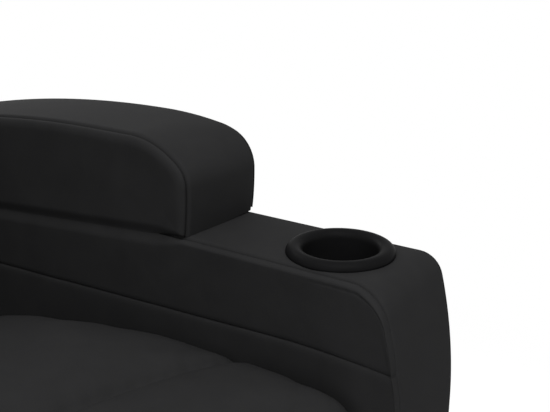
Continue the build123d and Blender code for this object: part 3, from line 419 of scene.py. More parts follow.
def set_strip(strip, closed, side):
    return sided(strip, side), facing(grid_faces(*strip.shape[:2], closed), side)


def without_hole(points, faces, centre):
    """Faces left after those wholly inside the cup holder's hole are taken out."""
    inside = np.hypot(points[:, 0] - centre[0], points[:, 1] - centre[1]) < CUP_HOLE
    inside &= points[:, 2] > arm_high.z - CUP_HOLE_DEPTH
    return [face for face in faces if not all(inside[list(face)])]


def joined(name, parts, material):
    """One piece from several sheets of points and faces that meet at their seams."""
    points, faces, start = [], [], 0
    for sheet_points, sheet_faces in parts:
        points.append(sheet_points)
        faces += [tuple(index + start for index in face) for face in sheet_faces]
        start += len(sheet_points)
    return make_piece(name, np.concatenate(points), faces, material)


def declare_padded(piece, node, body):
    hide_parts(node)
    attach(piece, body)


def level_line(height):
    """A line of one height, as a function of the places along it."""
    return lambda places: np.full(len(places), height)


OUTER_SPINE = 0.24


def upholster_arm(side, label):
    inner = arm_outline(DECK_CORNER_IN, 0)
    outer = arm_outline(DECK_CORNER_OUT, DECK_OUT_DROP)
    strip = boxing_points(inner, outer, True, ARM_SEAM_IN, ARM_SEAM_OUT, ARM_CROWN, deck_sag)
    points, faces = set_strip(strip, True, side)
    faces = without_hole(points, faces, (side * cup_centre.x, cup_centre.y))
    y = inner[:, 0]
    lowered = np.column_stack([y, np.minimum(inner[:, 1], fold_line(y))])
    soft = eased((y - bolster_low.y) / FOLD_RUN) * (lowered[:, 1] > crease_line(y))
    spine = ((arm_low.y + CREASE_ENDS[0], arm_high.y - CREASE_ENDS[1]), crease_line)
    shares, puff = closing_shares(30, 2.0), ARM_SEAM_IN - arm_low.x
    panel_in = panel_points(lowered, spine, shares, soft, SIDE_BEAD, puff, inner_arm_relief)
    level = level_line((arm_low.z + arm_high.z) / 2)
    spine = ((arm_low.y + OUTER_SPINE, arm_high.y - OUTER_SPINE), level)
    shares, puff, tight = closing_shares(12, 1.2), arm_high.x - ARM_SEAM_OUT, np.zeros(ARM_POINTS)
    panel_out = panel_points(outer, spine, shares, tight, SIDE_BEAD, puff, outer_hollows)
    sheets = [
        (points, faces),
        set_panel(panel_in, ARM_SEAM_IN, -1, side),
        set_panel(panel_out, ARM_SEAM_OUT, 1, side),
    ]
    arm = joined(f"arm_{label}", sheets, leather)
    declare_padded(arm, f"arm_cover_{label}", "base")
    return arm


arms = {label: upholster_arm(side, label) for side, label in SIDES}

# The bolsters: raised rear arm rests of foam on a board core, covered like the arms and set on the
# deck, with their inner panels drawn down over the arm's own panel.
BOLSTER_POINTS = 330
BOLSTER_UNDER_POINTS = 130
BOLSTER_TUCK_TURN = 9.4
BOLSTER_REAR_R = 45 * MM
BOLSTER_ARCH_R = 1640 * MM
BOLSTER_ARCH_Y = -60 * MM
BOLSTER_BEAD = 11 * MM
BOLSTER_CROWN = 2.0 * MM
BOLSTER_FOLD_RUN = 60 * MM
BOLSTER_SPINE = (50 * MM, 60 * MM)
BOLSTER_SPINE_DROP = 6 * MM
# each front corner as radius and degrees from the face up to the top
BOLSTER_CORNER_IN = ((32 * MM, 50), (105 * MM, 40))
BOLSTER_CORNER_OUT = ((45 * MM, 66), (92 * MM, 15), (500 * MM, 9))
BOLSTER_OUT_RISE = 1.0 * MM


def bolster_outline(corner, top):
    """Side outline of a bolster from its tucked front foot over the arched top to its rear foot."""
    run, rise = turned(corner)
    tuck_r = (top - bolster_low.z - rise) / np.sin(radians(BOLSTER_TUCK_TURN))
    start = (bolster_low.y + tuck_r * (1 - np.cos(radians(BOLSTER_TUCK_TURN))), bolster_low.z)
    arch_run = bolster_high.y - BOLSTER_ARCH_Y - BOLSTER_REAR_R
    arch = np.arcsin(arch_run / (BOLSTER_ARCH_R - BOLSTER_REAR_R))
    fall = BOLSTER_ARCH_R * (1 - np.cos(arch)) + BOLSTER_REAR_R * np.cos(arch)
    moves = [
        (tuck_r, BOLSTER_TUCK_TURN), *corner, max(BOLSTER_ARCH_Y - bolster_low.y - run, 1 * MM),
        (BOLSTER_ARCH_R, np.degrees(arch)), (BOLSTER_REAR_R, 90 - np.degrees(arch)),
        top - fall - bolster_low.z,
    ]
    return spaced(trace(start, 90 + BOLSTER_TUCK_TURN, moves), BOLSTER_POINTS, False)


def no_sag(outline, x):
    return np.zeros(len(outline))


bolster_hollows = hollows(depth=0.6 * MM, length=0.19, seed=5, run=0.03)


def upholster_bolster(side, label):
    inner = bolster_outline(BOLSTER_CORNER_IN, bolster_high.z)
    outer = bolster_outline(BOLSTER_CORNER_OUT, bolster_high.z + BOLSTER_OUT_RISE)
    strip = boxing_points(inner, outer, False, ARM_SEAM_IN, ARM_SEAM_OUT, BOLSTER_CROWN, no_sag)
    sheets = [set_strip(strip, False, side)]
    level = level_line((bolster_low.z + bolster_high.z) / 2 - BOLSTER_SPINE_DROP)
    spine = ((bolster_low.y + BOLSTER_SPINE[0], bolster_high.y - BOLSTER_SPINE[1]), level)
    for over, seam, face, way, foot in (
        (inner, ARM_SEAM_IN, bolster_low.x, -1, fold_line),
        (outer, ARM_SEAM_OUT, bolster_high.x, 1, level_line(bolster_low.z)),
    ):
        under = np.linspace(over[-1, 0], over[0, 0], BOLSTER_UNDER_POINTS + 2)[1:-1]
        outline = np.concatenate([over, np.column_stack([under, foot(under)])])
        soft = np.concatenate([np.zeros(len(over)), eased((under - under.min()) / BOLSTER_FOLD_RUN)])
        shares, puff = closing_shares(9, 1.2), abs(seam - face)
        panel = panel_points(outline, spine, shares, soft, BOLSTER_BEAD, puff, bolster_hollows)
        sheets.append(set_panel(panel, seam, way, side))
    bolster = joined(f"bolster_{label}", sheets, leather)
    declare_padded(bolster, f"bolster_cover_{label}", "base")


for side, label in SIDES:
    upholster_bolster(side, label)


# The cup holders: drop-in cups moulded in black plastic with a thick rolled flange, pushed into a
# round hole in each deck.
def handled(tree, place, given):
    """Faint moulded texture with slow handling marks."""
    grain = noise(tree, place, given["Grain"], Detail=2.0)
    return grain, noise(tree, place, given["Marks"], Detail=5.0, Roughness=0.65)


moulded = effect("moulded_skin", {"Grain": 700.0, "Marks": 12.0}, handled)
cup_plastic = surface(
    "cup_plastic", moulded, {"Grain": 1100.0, "Marks": 30.0}, dark=(0.0042, 0.0042, 0.0044),
    light=(0.0058, 0.0058, 0.006), rough=(0.33, 0.46), bump=(0.08, 0.0002), Specular_IOR_Level=0.0078
)
CUP_FLANGE = 56 * MM
CUP_FOOT = (CUP_FLANGE - 1.2 * MM, -1.5 * MM)
CUP_CREST = 47.5 * MM
CUP_CREST_RISE = 8 * MM
CUP_BORE = 38.5 * MM
CUP_WALL_TOP = 2 * MM
CUP_FLOOR = 70 * MM
CUP_FLOOR_ROUND = 6 * MM
CUP_FLOOR_CENTRE = 0.5 * MM
CUP_TURNS = 96


def cup_section():
    """Radius and height down the cup: flange foot, rolled lip, wall, rounded floor."""
    quarter = np.radians(np.linspace(0, 90, 12))
    cos, sin = np.cos(quarter), np.sin(quarter)
    lip_out = np.column_stack([CUP_CREST + (CUP_FLANGE - CUP_CREST) * cos, CUP_CREST_RISE * sin])
    lip_in = np.column_stack([CUP_CREST - (CUP_CREST - CUP_BORE) * sin, CUP_CREST_RISE * cos])
    wall = [(CUP_BORE, -depth) for depth in np.linspace(CUP_WALL_TOP, CUP_FLOOR - CUP_FLOOR_ROUND, 10)]
    turn = CUP_FLOOR_ROUND * np.column_stack([cos - 1, 1 - sin]) + (CUP_BORE, -CUP_FLOOR)
    floor = [(radius, -CUP_FLOOR) for radius in np.linspace(turn[-1, 0], CUP_FLOOR_CENTRE, 6)]
    return np.concatenate([[CUP_FOOT], lip_out, lip_in[1:], wall, turn[1:], floor[1:]])


def turn_cup(side, label):
    angle = np.arange(CUP_TURNS) / CUP_TURNS * tau
    ring = np.column_stack([np.cos(angle), np.sin(angle), np.zeros(CUP_TURNS)])
    centre = np.array([side * cup_centre.x, cup_centre.y, arm_high.z])
    rows = [centre + radius * ring + (0, 0, height) for radius, height in cup_section()]
    faces = grid_faces(len(rows), CUP_TURNS, True)
    last = (len(rows) - 1) * CUP_TURNS
    faces.append(tuple(range(last, last + CUP_TURNS)))
    cup = make_piece(f"cup_{label}", np.concatenate(rows), faces, cup_plastic)
    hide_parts(f"cup_holder_{label}")
    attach(cup, "base")


for side, label in SIDES:
    turn_cup(side, label)


# The seat cushion: one foam pad in a sewn leather cover, with a channel sewn across it that parts
# the front section from the rear one.
SEAT_INSET = 3 * MM
SEAT_ROUND = 36 * MM
SEAT_CELLS = 28
SEAT_VOXEL = 5.5 * MM
CHANNEL_Y = -219 * MM
CHANNEL_SLANT = 0.317
CHANNEL_BEND = 90 * MM
CHANNEL_DEPTH = 11 * MM
CHANNEL_HALF = SEAT_VOXEL * 0.6
CHANNEL_REACH = 60 * MM
CHANNEL_ROUND = 24 * MM
SEAT_LIP_DEPTH = 75 * MM
SEAT_LIP_STEP = 6 * MM
SEAT_BOTTOM = 344 * MM
SEAT_HELD = 6 * MM
SEAT_TRIM = 22 * MM
SEAT_SWELL = 22 * MM
SEAT_EVENING = 14
# where the seat's upper part starts, and the height over which it does
SEAT_UPPER = (400 * MM, 60 * MM)
CLOTH_FRAMES = 20
CLOTH_PRESSURE = 4.0
seat_low, seat_high = (np.array(corner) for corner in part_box("seat_cushion"))


def rounded_block(low, high, radius, cells):
    """Points and faces of a box with rounded edges, its faces cut in even cells."""
    low, high = np.array(low), np.array(high)
    lattice = np.linspace(0, 1, cells + 1)
    plane = np.array([(u, v) for u in lattice for v in lattice])
    points, faces = [], []
    for axis in range(3):
        for end in (0, 1):
            outer = low + np.insert(plane, axis, end, axis=1) * (high - low)
            core = np.clip(outer, low + radius, high - radius)
            offset = outer - core
            size = np.linalg.norm(offset, axis=1, keepdims=True)
            quads = np.array(grid_faces(cells + 1, cells + 1, False)) + len(points) * len(plane)
            faces += facing(quads.tolist(), 1 if end == (axis == 1) else -1)
            points.append(np.where(size > 0, core + offset / size.clip(1e-9) * radius, outer))
    return np.concatenate(points), faces


def remeshed(name, points, faces, voxel, material):
    """Closed, even mesh over a rough form, ready for stuffing."""
    piece = make_piece(name, points, faces, material)
    modifier = piece.modifiers.new("even", "REMESH")
    modifier.mode = "VOXEL"
    modifier.voxel_size = voxel
    bpy.context.view_layer.update()
    graph = bpy.context.evaluated_depsgraph_get()
    mesh = bpy.data.meshes.new_from_object(piece.evaluated_get(graph))
    piece.modifiers.clear()
    piece.data = mesh
    mesh.materials.clear()
    mesh.materials.append(material)
    mesh.polygons.foreach_set("use_smooth", [True] * len(mesh.polygons))
    return piece


def vertex_array(mesh, what="co"):
    values = np.empty(len(mesh.vertices) * 3)
    mesh.vertices.foreach_get(what, values)
    return values.reshape(-1, 3)


def set_vertices(mesh, points):
    mesh.vertices.foreach_set("co", points.ravel())
    mesh.update()


def evened(mesh, field, rounds):
    """A field over the vertices, averaged with their neighbours to take out sharp wrinkles."""
    edges = np.empty(len(mesh.edges) * 2, int)
    mesh.edges.foreach_get("vertices", edges)
    first, second = edges.reshape(-1, 2).T
    degree = np.bincount(edges, minlength=len(field))[:, None]
    for _ in range(rounds):
        total = np.zeros_like(field)
        np.add.at(total, first, field[second])
        np.add.at(total, second, field[first])
        field = (field + total / degree) / 2
    return field


def stuff(piece, held, cap, rounds):
    """Swell a sewn cover by pressure, held at its sewn points, no point moving past the cap."""
    start = vertex_array(piece.data)
    group = piece.vertex_groups.new(name="sewn")
    group.add(np.flatnonzero(held).tolist(), 1.0, "REPLACE")
    cloth = piece.modifiers.new("cover", "CLOTH")
    cloth.settings.use_pressure = True
    cloth.settings.uniform_pressure_force = CLOTH_PRESSURE
    cloth.settings.effector_weights.gravity = 0
    cloth.settings.quality = 4
    cloth.settings.vertex_group_mass = "sewn"
    cloth.collision_settings.use_collision = False
    cloth.point_cache.frame_end = CLOTH_FRAMES
    for number in range(1, CLOTH_FRAMES + 1):
        scene.frame_set(number)
    graph = bpy.context.evaluated_depsgraph_get()
    swollen = vertex_array(piece.evaluated_get(graph).data)
    move = swollen - start
    length = np.linalg.norm(move, axis=1, keepdims=True).clip(1e-9)
    piece.modifiers.clear()
    piece.vertex_groups.clear()
    move = evened(piece.data, move / length * np.minimum(length, cap), rounds)
    set_vertices(piece.data, start + move)
    scene.frame_set(1)


def fitted(points, low, high):
    """Points stretched along each axis until they just fill a box."""
    start, end = points.min(axis=0), points.max(axis=0)
    return low + (points - start) / (end - start) * (np.array(high) - low)


def past_channel(points):
    """Distance behind the sewn channel, which bows rearward between the sides."""
    bow = np.hypot(points[:, 0], CHANNEL_BEND) - CHANNEL_BEND
    return points[:, 1] - CHANNEL_Y + CHANNEL_SLANT * bow


SEAT_TOP = 494 * MM
SEAT_REAR_FALL = 36 * MM
SEAT_FRONT_FALL = 10 * MM
SEAT_SIDE_FALL = 10 * MM


def seat_top(points):
    """Height of the seat's leather before stuffing, over its whole plan."""
    across = np.clip(np.abs(points[:, 0]) / seat_high[0], 0, 1)
    past = past_channel(points)
    rear = np.clip(past / (seat_high[1] - CHANNEL_Y), 0, 1)
    front = np.clip(-past / (CHANNEL_Y - seat_low[1]), 0, 1)
    line = SEAT_TOP - SEAT_REAR_FALL * rear ** 1.6 - SEAT_FRONT_FALL * front ** 2.5
    return line - SEAT_SIDE_FALL * across ** 3


# the seat's crest a little in from its side edges, as Y and Z
CREST_X = (222 * MM, 246 * MM)
CREST_CLEAR = 30 * MM
CREST_FACING = 0.6
CREST_DEGREE = 5
CREST = np.array([
    (-420, 484.5), (-404, 489.5), (-374, 494.3), (-339, 497), (-292, 498.5), (-216, 495.5),
    (-188, 493.8), (-137, 484.7), (-74, 471), (-3, 455.5), (70, 443), (95, 437),
]) * MM


def crest_shift(points, normals):
    """How far each point has to rise for the stuffed seat to meet its crest line."""
    side = np.abs(points[:, 0])
    crest = (side > CREST_X[0]) & (side < CREST_X[1]) & (normals[:, 2] > CREST_FACING)
    crest &= np.abs(past_channel(points)) > CREST_CLEAR
    y = points[:, 1]
    stuffed = np.polyfit(y[crest], points[crest, 2], CREST_DEGREE)
    at = np.clip(y, CREST[0, 0], CREST[-1, 0])
    return np.interp(at, CREST[:, 0], CREST[:, 1]) - np.polyval(stuffed, at)


def finish_pad(piece, node, body):
    soft = piece.modifiers.new("soft", "SUBSURF")
    soft.levels = soft.render_levels = 1
    declare_padded(piece, node, body)


# each wrinkled place's middle across the seat, its tilt and its phase
WRINKLES = ((112 * MM, 0.3, 1), (-125 * MM, -0.35, 2), (10 * MM, 0.1, 3))
WRINKLE_RISE = 1.2 * MM
WRINKLE_PITCH = 12 * MM
WRINKLE_SPAN = 32 * MM
WRINKLE_AHEAD = 19 * MM
WRINKLE_DEPTH = 17 * MM


def seat_wrinkles(points):
    """Short folds gathered in front of the channel."""
    past = past_channel(points)
    rise = np.zeros(len(points))
    for middle, tilt, phase in WRINKLES:
        along = points[:, 0] - middle
        window = np.exp(-((along / WRINKLE_SPAN) ** 2) - ((past + WRINKLE_AHEAD) / WRINKLE_DEPTH) ** 2)
        bend = 0.7 * np.sin(along / WRINKLE_PITCH)
        rise += window * np.sin((past - tilt * along) / WRINKLE_PITCH * tau + phase + bend)
    return WRINKLE_RISE * rise


def upholster_seat():
    behind = seat_high - SEAT_INSET + np.array([0, SEAT_TRIM, 0])
    points, faces = rounded_block(seat_low + SEAT_INSET, behind, SEAT_ROUND, SEAT_CELLS)
    points[:, 1] = np.minimum(points[:, 1], seat_high[1] - SEAT_INSET)
    share = (points[:, 2] - seat_low[2]) / (seat_high[2] - seat_low[2])
    lip = eased((seat_low[1] + SEAT_LIP_DEPTH - points[:, 1]) / SEAT_LIP_STEP)
    bottom = SEAT_BOTTOM + (seat_low[2] - SEAT_BOTTOM) * lip
    points[:, 2] = bottom + share * (seat_top(points) - bottom)
    seat = remeshed("seat", points, faces, SEAT_VOXEL, leather)
    rest = vertex_array(seat.data)
    near_top = rest[:, 2] > seat_top(rest) - CHANNEL_REACH
    channel = (np.abs(past_channel(rest)) < CHANNEL_HALF) & near_top
    underside = rest[:, 2] < SEAT_BOTTOM + SEAT_HELD
    stuff(seat, channel | underside, SEAT_SWELL, SEAT_EVENING)
    points = vertex_array(seat.data)
    full = fitted(points, seat_low, seat_high)
    points = np.column_stack([full[:, :2], points[:, 2] + seat_low[2] - points[:, 2].min()])
    set_vertices(seat.data, points)
    upper = eased((points[:, 2] - SEAT_UPPER[0]) / SEAT_UPPER[1])
    points[:, 2] += upper * crest_shift(points, vertex_array(seat.data, "normal"))
    past = past_channel(points) / CHANNEL_ROUND
    sunk = 1 - np.where(past > 0, rolled(past), eased(-past))
    points[:, 2] -= CHANNEL_DEPTH * sunk * upper
    points[:, 2] += seat_wrinkles(points) * upper
    points[:, 0] = np.clip(points[:, 0], seat_low[0], seat_high[0])
    set_vertices(seat.data, points)
    finish_pad(seat, "seat_cushion", "seat")


upholster_seat()

# The seat's leather sheets: an apron tacked along the front rail, with a flap hanging between the
# footrest's links, and a loose strip from the rear rail to the underside of the back cushions.
# Both close the view into the mechanism.
SHEET_THICK = 1.5 * MM
SHEET_COLUMNS = 161
APRON_HALF = 251 * MM
APRON_FRONT = 1.6 * MM
APRON_TOP = 334 * MM
APRON_HEM = 299 * MM
APRON_ROWS = 15
APRON_SWAY = 0.02
APRON_WAVE = 110 * MM
FLAP_HALF = 192 * MM
FLAP_HEM = 252 * MM
FLAP_CORNER = 10 * MM
STRIP_HALF = 219.5 * MM
# the rear strip's line as Y and Z, from the rail's top to the lower back cushion
STRIP_LINE = np.array([
    (72, 340), (98, 341), (103, 346), (105, 357), (110, 368),
    (122, 379), (138, 388), (150, 390.5), (160, 391),
]) * MM
STRIP_ROWS = 30
STRIP_SAG = 1.0 * MM
STRIP_WAVE = 70 * MM
# where the strip comes off the rail, and the run over which it starts to sag
STRIP_LOOSE = (105 * MM, 10 * MM)
rail_low, rail_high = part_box("seat_front_rail")


def lay_sheet(name, rows):
    faces = grid_faces(len(rows), SHEET_COLUMNS, False)
    sheet = make_piece(name, np.concatenate(rows), faces, leather)
    thick = sheet.modifiers.new("leather", "SOLIDIFY")
    thick.thickness = SHEET_THICK
    thick.offset = 0
    return sheet


def hang_apron():
    across = np.linspace(-APRON_HALF, APRON_HALF, SHEET_COLUMNS)
    hem = FLAP_HEM + (APRON_HEM - FLAP_HEM) * eased((np.abs(across) - FLAP_HALF) / FLAP_CORNER)
    rows = []
    for share in np.linspace(0, 1, APRON_ROWS):
        z = APRON_TOP + (hem - APRON_TOP) * share
        below = (rail_low.z - z).clip(0)
        y = rail_low.y - APRON_FRONT - APRON_SWAY * below * np.sin(across / APRON_WAVE * tau)
        rows.append(np.column_stack([across, y, z]))
    apron = lay_sheet("seat_apron", rows)
    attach(apron, "seat")


def lay_rear_strip():
    across = np.linspace(-STRIP_HALF, STRIP_HALF, SHEET_COLUMNS)
    line = spaced(STRIP_LINE, STRIP_ROWS, False)
    rows = []
    for y, z in line:
        loose = STRIP_SAG * eased((y - STRIP_LOOSE[0]) / STRIP_LOOSE[1])
        sag = loose * (1 - np.cos(across / STRIP_WAVE * tau))
        rows.append(np.column_stack([across, np.full(SHEET_COLUMNS, y), z - sag]))
    strip = lay_sheet("seat_rear_strip", rows)
    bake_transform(strip)


hang_apron()
lay_rear_strip()

# The footrest pad: a foam pad in a box cover of the same leather, drawn round a plywood board that
# the linkage carries, and stapled behind it.
FOOTREST_INSET = np.array([4, 16, 4]) * MM
FOOTREST_ROUND = 24 * MM
FOOTREST_CELLS = 24
FOOTREST_TRIM = 14 * MM
FOOTREST_VOXEL = 6 * MM
FOOTREST_SWELL = 24 * MM
FOOTREST_HELD = 18 * MM
FOOTREST_SEAM = 30 * MM
BOARD_LAP = 0.8 * MM
PAD_EVENING = 6
SEAM_GROOVE = 2.2 * MM
SEAM_SHOULDER = 9 * MM
footrest_low, footrest_high = (np.array(corner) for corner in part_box("footrest_pad"))
footrest_high[1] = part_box("footrest_board")[1].y - BOARD_LAP


def draw_in(piece, distance):
    """Pull a stuffed cover in along a sewn line, at each point by its distance from the line."""
    depth = SEAM_GROOVE * (1 - rolled(np.abs(distance) / SEAM_SHOULDER))
    mesh = piece.data
    set_vertices(mesh, vertex_array(mesh) - vertex_array(mesh, "normal") * depth[:, None])


def upholster_footrest():
    high = footrest_high - FOOTREST_INSET
    high[1] = footrest_high[1] + FOOTREST_TRIM
    points, faces = rounded_block(footrest_low + FOOTREST_INSET, high, FOOTREST_ROUND, FOOTREST_CELLS)
    points[:, 1] = np.minimum(points[:, 1], footrest_high[1])
    pad = remeshed("footrest", points, faces, FOOTREST_VOXEL, leather)
    rest = vertex_array(pad.data)
    stuff(pad, rest[:, 1] > footrest_high[1] - FOOTREST_HELD, FOOTREST_SWELL, PAD_EVENING)
    points = fitted(vertex_array(pad.data), footrest_low, footrest_high)
    set_vertices(pad.data, points)
    draw_in(pad, points[:, 1] - (footrest_low[1] + FOOTREST_SEAM))
    finish_pad(pad, "footrest_pad", "footrest")


upholster_footrest()

# The back cushions: lumbar, middle and head pads of foam and fibre, each in its own leather cover,
# hooked to the webbing between the stiles of the back.
BACK_LEAN = radians(17)
BACK_HALF = 256 * MM
BACK_REAR = 20 * MM
BACK_INSET = 3 * MM
BACK_FRONT_INSET = 16 * MM
BACK_TRIM = 20 * MM
BACK_ROUND = 34 * MM
BACK_CELLS = 22
BACK_VOXEL = 6 * MM
BACK_SWELL = 26 * MM
BACK_HELD = 9 * MM
BACK_SEAM = 34 * MM
# each pad's lower edge, upper edge and front in the back's own frame
BACK_PADS = (
    ("back_cushion_lower", -25 * MM, 193 * MM, 102 * MM),
    ("back_cushion_middle", 189 * MM, 403 * MM, 107 * MM),
    ("back_cushion_head", 399 * MM, 640 * MM, 119 * MM),
)
FORWARD = (0, -np.cos(BACK_LEAN), np.sin(BACK_LEAN))
UP = (0, np.sin(BACK_LEAN), np.cos(BACK_LEAN))
BACK_AXES = np.array([(1, 0, 0), FORWARD, UP])
PIVOT = np.array([0, 197.307, 400]) * MM


def leaned(points):
    """Points given as X, forward and up in the back's own frame, set in the chair."""
    return points @ BACK_AXES + PIVOT


def in_back_frame(points):
    return (points - PIVOT) @ BACK_AXES.T


def upholster_back_pad(node, bottom, top, front):
    low = (-BACK_HALF + BACK_INSET, BACK_REAR - BACK_TRIM, bottom + BACK_INSET)
    high = (BACK_HALF - BACK_INSET, front - BACK_FRONT_INSET, top - BACK_INSET)
    points, faces = rounded_block(low, high, BACK_ROUND, BACK_CELLS)
    points[:, 1] = np.maximum(points[:, 1], BACK_REAR)
    pad = remeshed(node.replace("cushion", "pad"), leaned(points), faces, BACK_VOXEL, leather)
    rest = in_back_frame(vertex_array(pad.data))
    stuff(pad, rest[:, 1] < BACK_REAR + BACK_HELD, BACK_SWELL, PAD_EVENING)
    local = in_back_frame(vertex_array(pad.data))
    local = fitted(local, (-BACK_HALF, BACK_REAR, bottom), (BACK_HALF, front, top))
    set_vertices(pad.data, leaned(local))
    draw_in(pad, local[:, 1] - (BACK_REAR + BACK_SEAM))
    finish_pad(pad, node, "back")


for back_pad in BACK_PADS:
    upholster_back_pad(*back_pad)

# The outside back: a leather panel with a strip of boxing round its sides and top, stretched over
# the stiles and rails of the back, turned in over their front and tacked there.
SHELL_REAR = -75 * MM
SHELL_FRONT = 19 * MM
SHELL_TURN_IN = 32 * MM
SHELL_TOP = 640 * MM
SHELL_BOTTOM = -5 * MM
SHELL_SIDE_BOTTOM = 40 * MM
SHELL_CORNER = 34 * MM
SHELL_PUFF = 6 * MM
SHELL_POINTS = 300
SHELL_FOOT_POINTS = 38
SHELL_SPINE_HALF = 0.12
SHELL_SPINE_LEVEL = 0.32
shell_hollows = hollows(depth=1.2 * MM, length=0.33, seed=12, run=0.06)


def shell_outline(bottom):
    """Up one side of the back, over its rounded upper corners and down the other side."""
    rise, across = SHELL_TOP - SHELL_CORNER - bottom, 2 * (BACK_HALF - SHELL_CORNER)
    turn = (SHELL_CORNER, 90)
    return trace((-BACK_HALF, bottom), 90, [rise, turn, across, turn, rise], step=2 * MM)


def upholster_shell():
    over = spaced(shell_outline(SHELL_SIDE_BOTTOM), SHELL_POINTS, False)
    strip = boxing_points(over, over, False, SHELL_REAR, SHELL_FRONT, 0.0, no_sag)
    turned_in = [
        np.column_stack([over - outward(over, False) * inward, np.full(SHELL_POINTS, SHELL_FRONT)])
        for inward in np.linspace(BOXING_SINK, SHELL_TURN_IN, 9)[1:]
    ]
    strip = np.concatenate([strip, turned_in])
    foot_x = np.linspace(BACK_HALF, -BACK_HALF, SHELL_FOOT_POINTS + 2)[1:-1]
    foot = np.column_stack([foot_x, np.full(SHELL_FOOT_POINTS, SHELL_BOTTOM)])
    outline = spaced(np.concatenate([shell_outline(SHELL_BOTTOM), foot]), SHELL_POINTS, True)
    spine = ((-SHELL_SPINE_HALF, SHELL_SPINE_HALF), level_line(SHELL_SPINE_LEVEL))
    shares, tight = closing_shares(14, 1.2), np.zeros(SHELL_POINTS)
    panel = panel_points(outline, spine, shares, tight, SIDE_BEAD, SHELL_PUFF, shell_hollows)
    panel = on_plane(panel, SHELL_REAR, -1)
    sheets = []
    for rows, wrap, way in ((strip, False, 1), (panel, True, -1)):
        points = leaned(rows.reshape(-1, 3)[:, [0, 2, 1]])
        sheets.append((points, facing(grid_faces(len(rows), SHELL_POINTS, wrap), way)))
    shell = joined("outside_back", sheets, leather)
    declare_padded(shell, "back_shell", "back")


upholster_shell()


# The timber: planed softwood boards inside the arms, rails under the seat and stiles in the back,
# screwed and stapled together, with the grain along each board.
def grained(tree, place, given):
    """Broad growth bands and fine streaks, both drawn out along the board."""
    along = add_node(tree, "Mapping", Vector=place, Scale=given["Stretch"]).outputs["Vector"]
    bands = noise(tree, along, given["Bands"], Detail=3.0, Distortion=1.2)
    streaks = noise(tree, along, given["Streaks"], Detail=3.0, Roughness=0.7)
    fine = worked_out(tree, "MULTIPLY", streaks, 0.4)
    return streaks, worked_out(tree, "MULTIPLY_ADD", bands, 0.6, fine)


def dress(slot, *look, among=None, **values):
    """Give the CAD nodes of one material slot, or only those named, a surface of their own."""
    material = surface(*look, **values)
    for row in frame["record"]["subparts"]:
        if row["material_slot"] == slot and (among is None or row["node"] in among):
            node = frame["nodes"][row["node"]]
            node.data.materials.clear()
            node.data.materials.append(material)


timber = effect("planed_timber", {"Stretch": (1.0, 1.0, 1.0), "Bands": 45.0, "Streaks": 420.0}, grained)
for run, stretch, boards in (
    ("across", (0.05, 1.0, 1.0), ("seat_front_rail", "seat_rear_rail", "back_rails", "footrest_board")),
    ("fore_and_aft", (1.0, 0.05, 1.0),
     ("arm_frame_left", "arm_frame_right", "bolster_cores", "seat_side_rails")),
    ("upright", (1.0, 1.0, 0.05), ("back_stiles",)),
):
    dress(
        "frame_wood", f"pine_{run}", timber, {"Stretch": stretch}, dark=(0.2, 0.125, 0.07),
        light=(0.42, 0.29, 0.17), rough=(0.62, 0.8), bump=(0.2, 0.0005), among=boards
    )

# The steel base: rails, cross tubes, side plates and shafts of mild steel, cut, welded and powder
# coated black, then bolted to the timber.
dress(
    "black_steel", "powder_coat", moulded, {"Grain": 420.0, "Marks": 9.0}, dark=(0.014, 0.014, 0.015),
    light=(0.026, 0.026, 0.027), rough=(0.38, 0.55), bump=(0.2, 0.0004)
)


# The linkage, pins, bolts and seat springs: links stamped from steel strip, the rest made from steel
# rod and wire, all zinc plated and slightly dulled.
def dulled(tree, place, given):
    """Fine drawn lines with slow dulling."""
    along = add_node(tree, "Mapping", Vector=place, Scale=(1.0, 0.05, 1.0)).outputs["Vector"]
    lines = noise(tree, along, given["Lines"], Detail=2.0)
    return lines, noise(tree, place, given["Dulling"], Detail=6.0, Roughness=0.65)


drawn = effect("drawn_metal", {"Lines": 500.0, "Dulling": 14.0}, dulled)
dress(
    "zinc_steel", "zinc_plate", drawn, {"Lines": 600.0, "Dulling": 22.0}, dark=(0.34, 0.34, 0.35),
    light=(0.62, 0.62, 0.62), rough=(0.3, 0.5), bump=(0.1, 0.0002), Metallic=1.0
)

# The two screw rails: channels of extruded aluminium cut to length and fixed to the motors, so that
# each motor's nut runs along its own.
dress(
    "screw_aluminium", "extruded_aluminium", drawn, {"Lines": 900.0, "Dulling": 10.0},
    dark=(0.56, 0.57, 0.59), light=(0.72, 0.72, 0.73), rough=(0.26, 0.42), bump=(0.08, 0.0002),
    Metallic=1.0
)

# The motors, control box and power inlet: housings moulded in charcoal plastic and fixed to the
# steelwork under the seat.
dress(
    "motor_plastic", "motor_housing", moulded, {"Grain": 800.0, "Marks": 16.0},
    dark=(0.022, 0.022, 0.024), light=(0.034, 0.034, 0.036), rough=(0.45, 0.62), bump=(0.14, 0.0003)
)

# The glide shoes and the nuts on the screws: moulded and bored in natural nylon, so that the seat's
# plates slide on the base rails and the nuts along theirs.
dress(
    "nylon", "natural_nylon", moulded, {"Grain": 500.0, "Marks": 20.0}, dark=(0.62, 0.6, 0.54),
    light=(0.78, 0.76, 0.7), rough=(0.34, 0.5), bump=(0.06, 0.0002)
)


# The back webbing: woven elastic straps stretched from stile to stile of the back and stapled there,
# to carry its cushions.
def woven(tree, place, given):
    """Plain weave: threads over and under in two directions."""
    ways = []
    for direction in ("X", "Z"):
        wave = add_node(tree, "TexWave", Vector=place, Scale=given["Threads"], Distortion=0.4)
        wave.bands_direction = direction
        ways.append(wave.outputs["Fac"])
    return worked_out(tree, "MAXIMUM", *ways), noise(tree, place, given["Soil"], Detail=4.0)


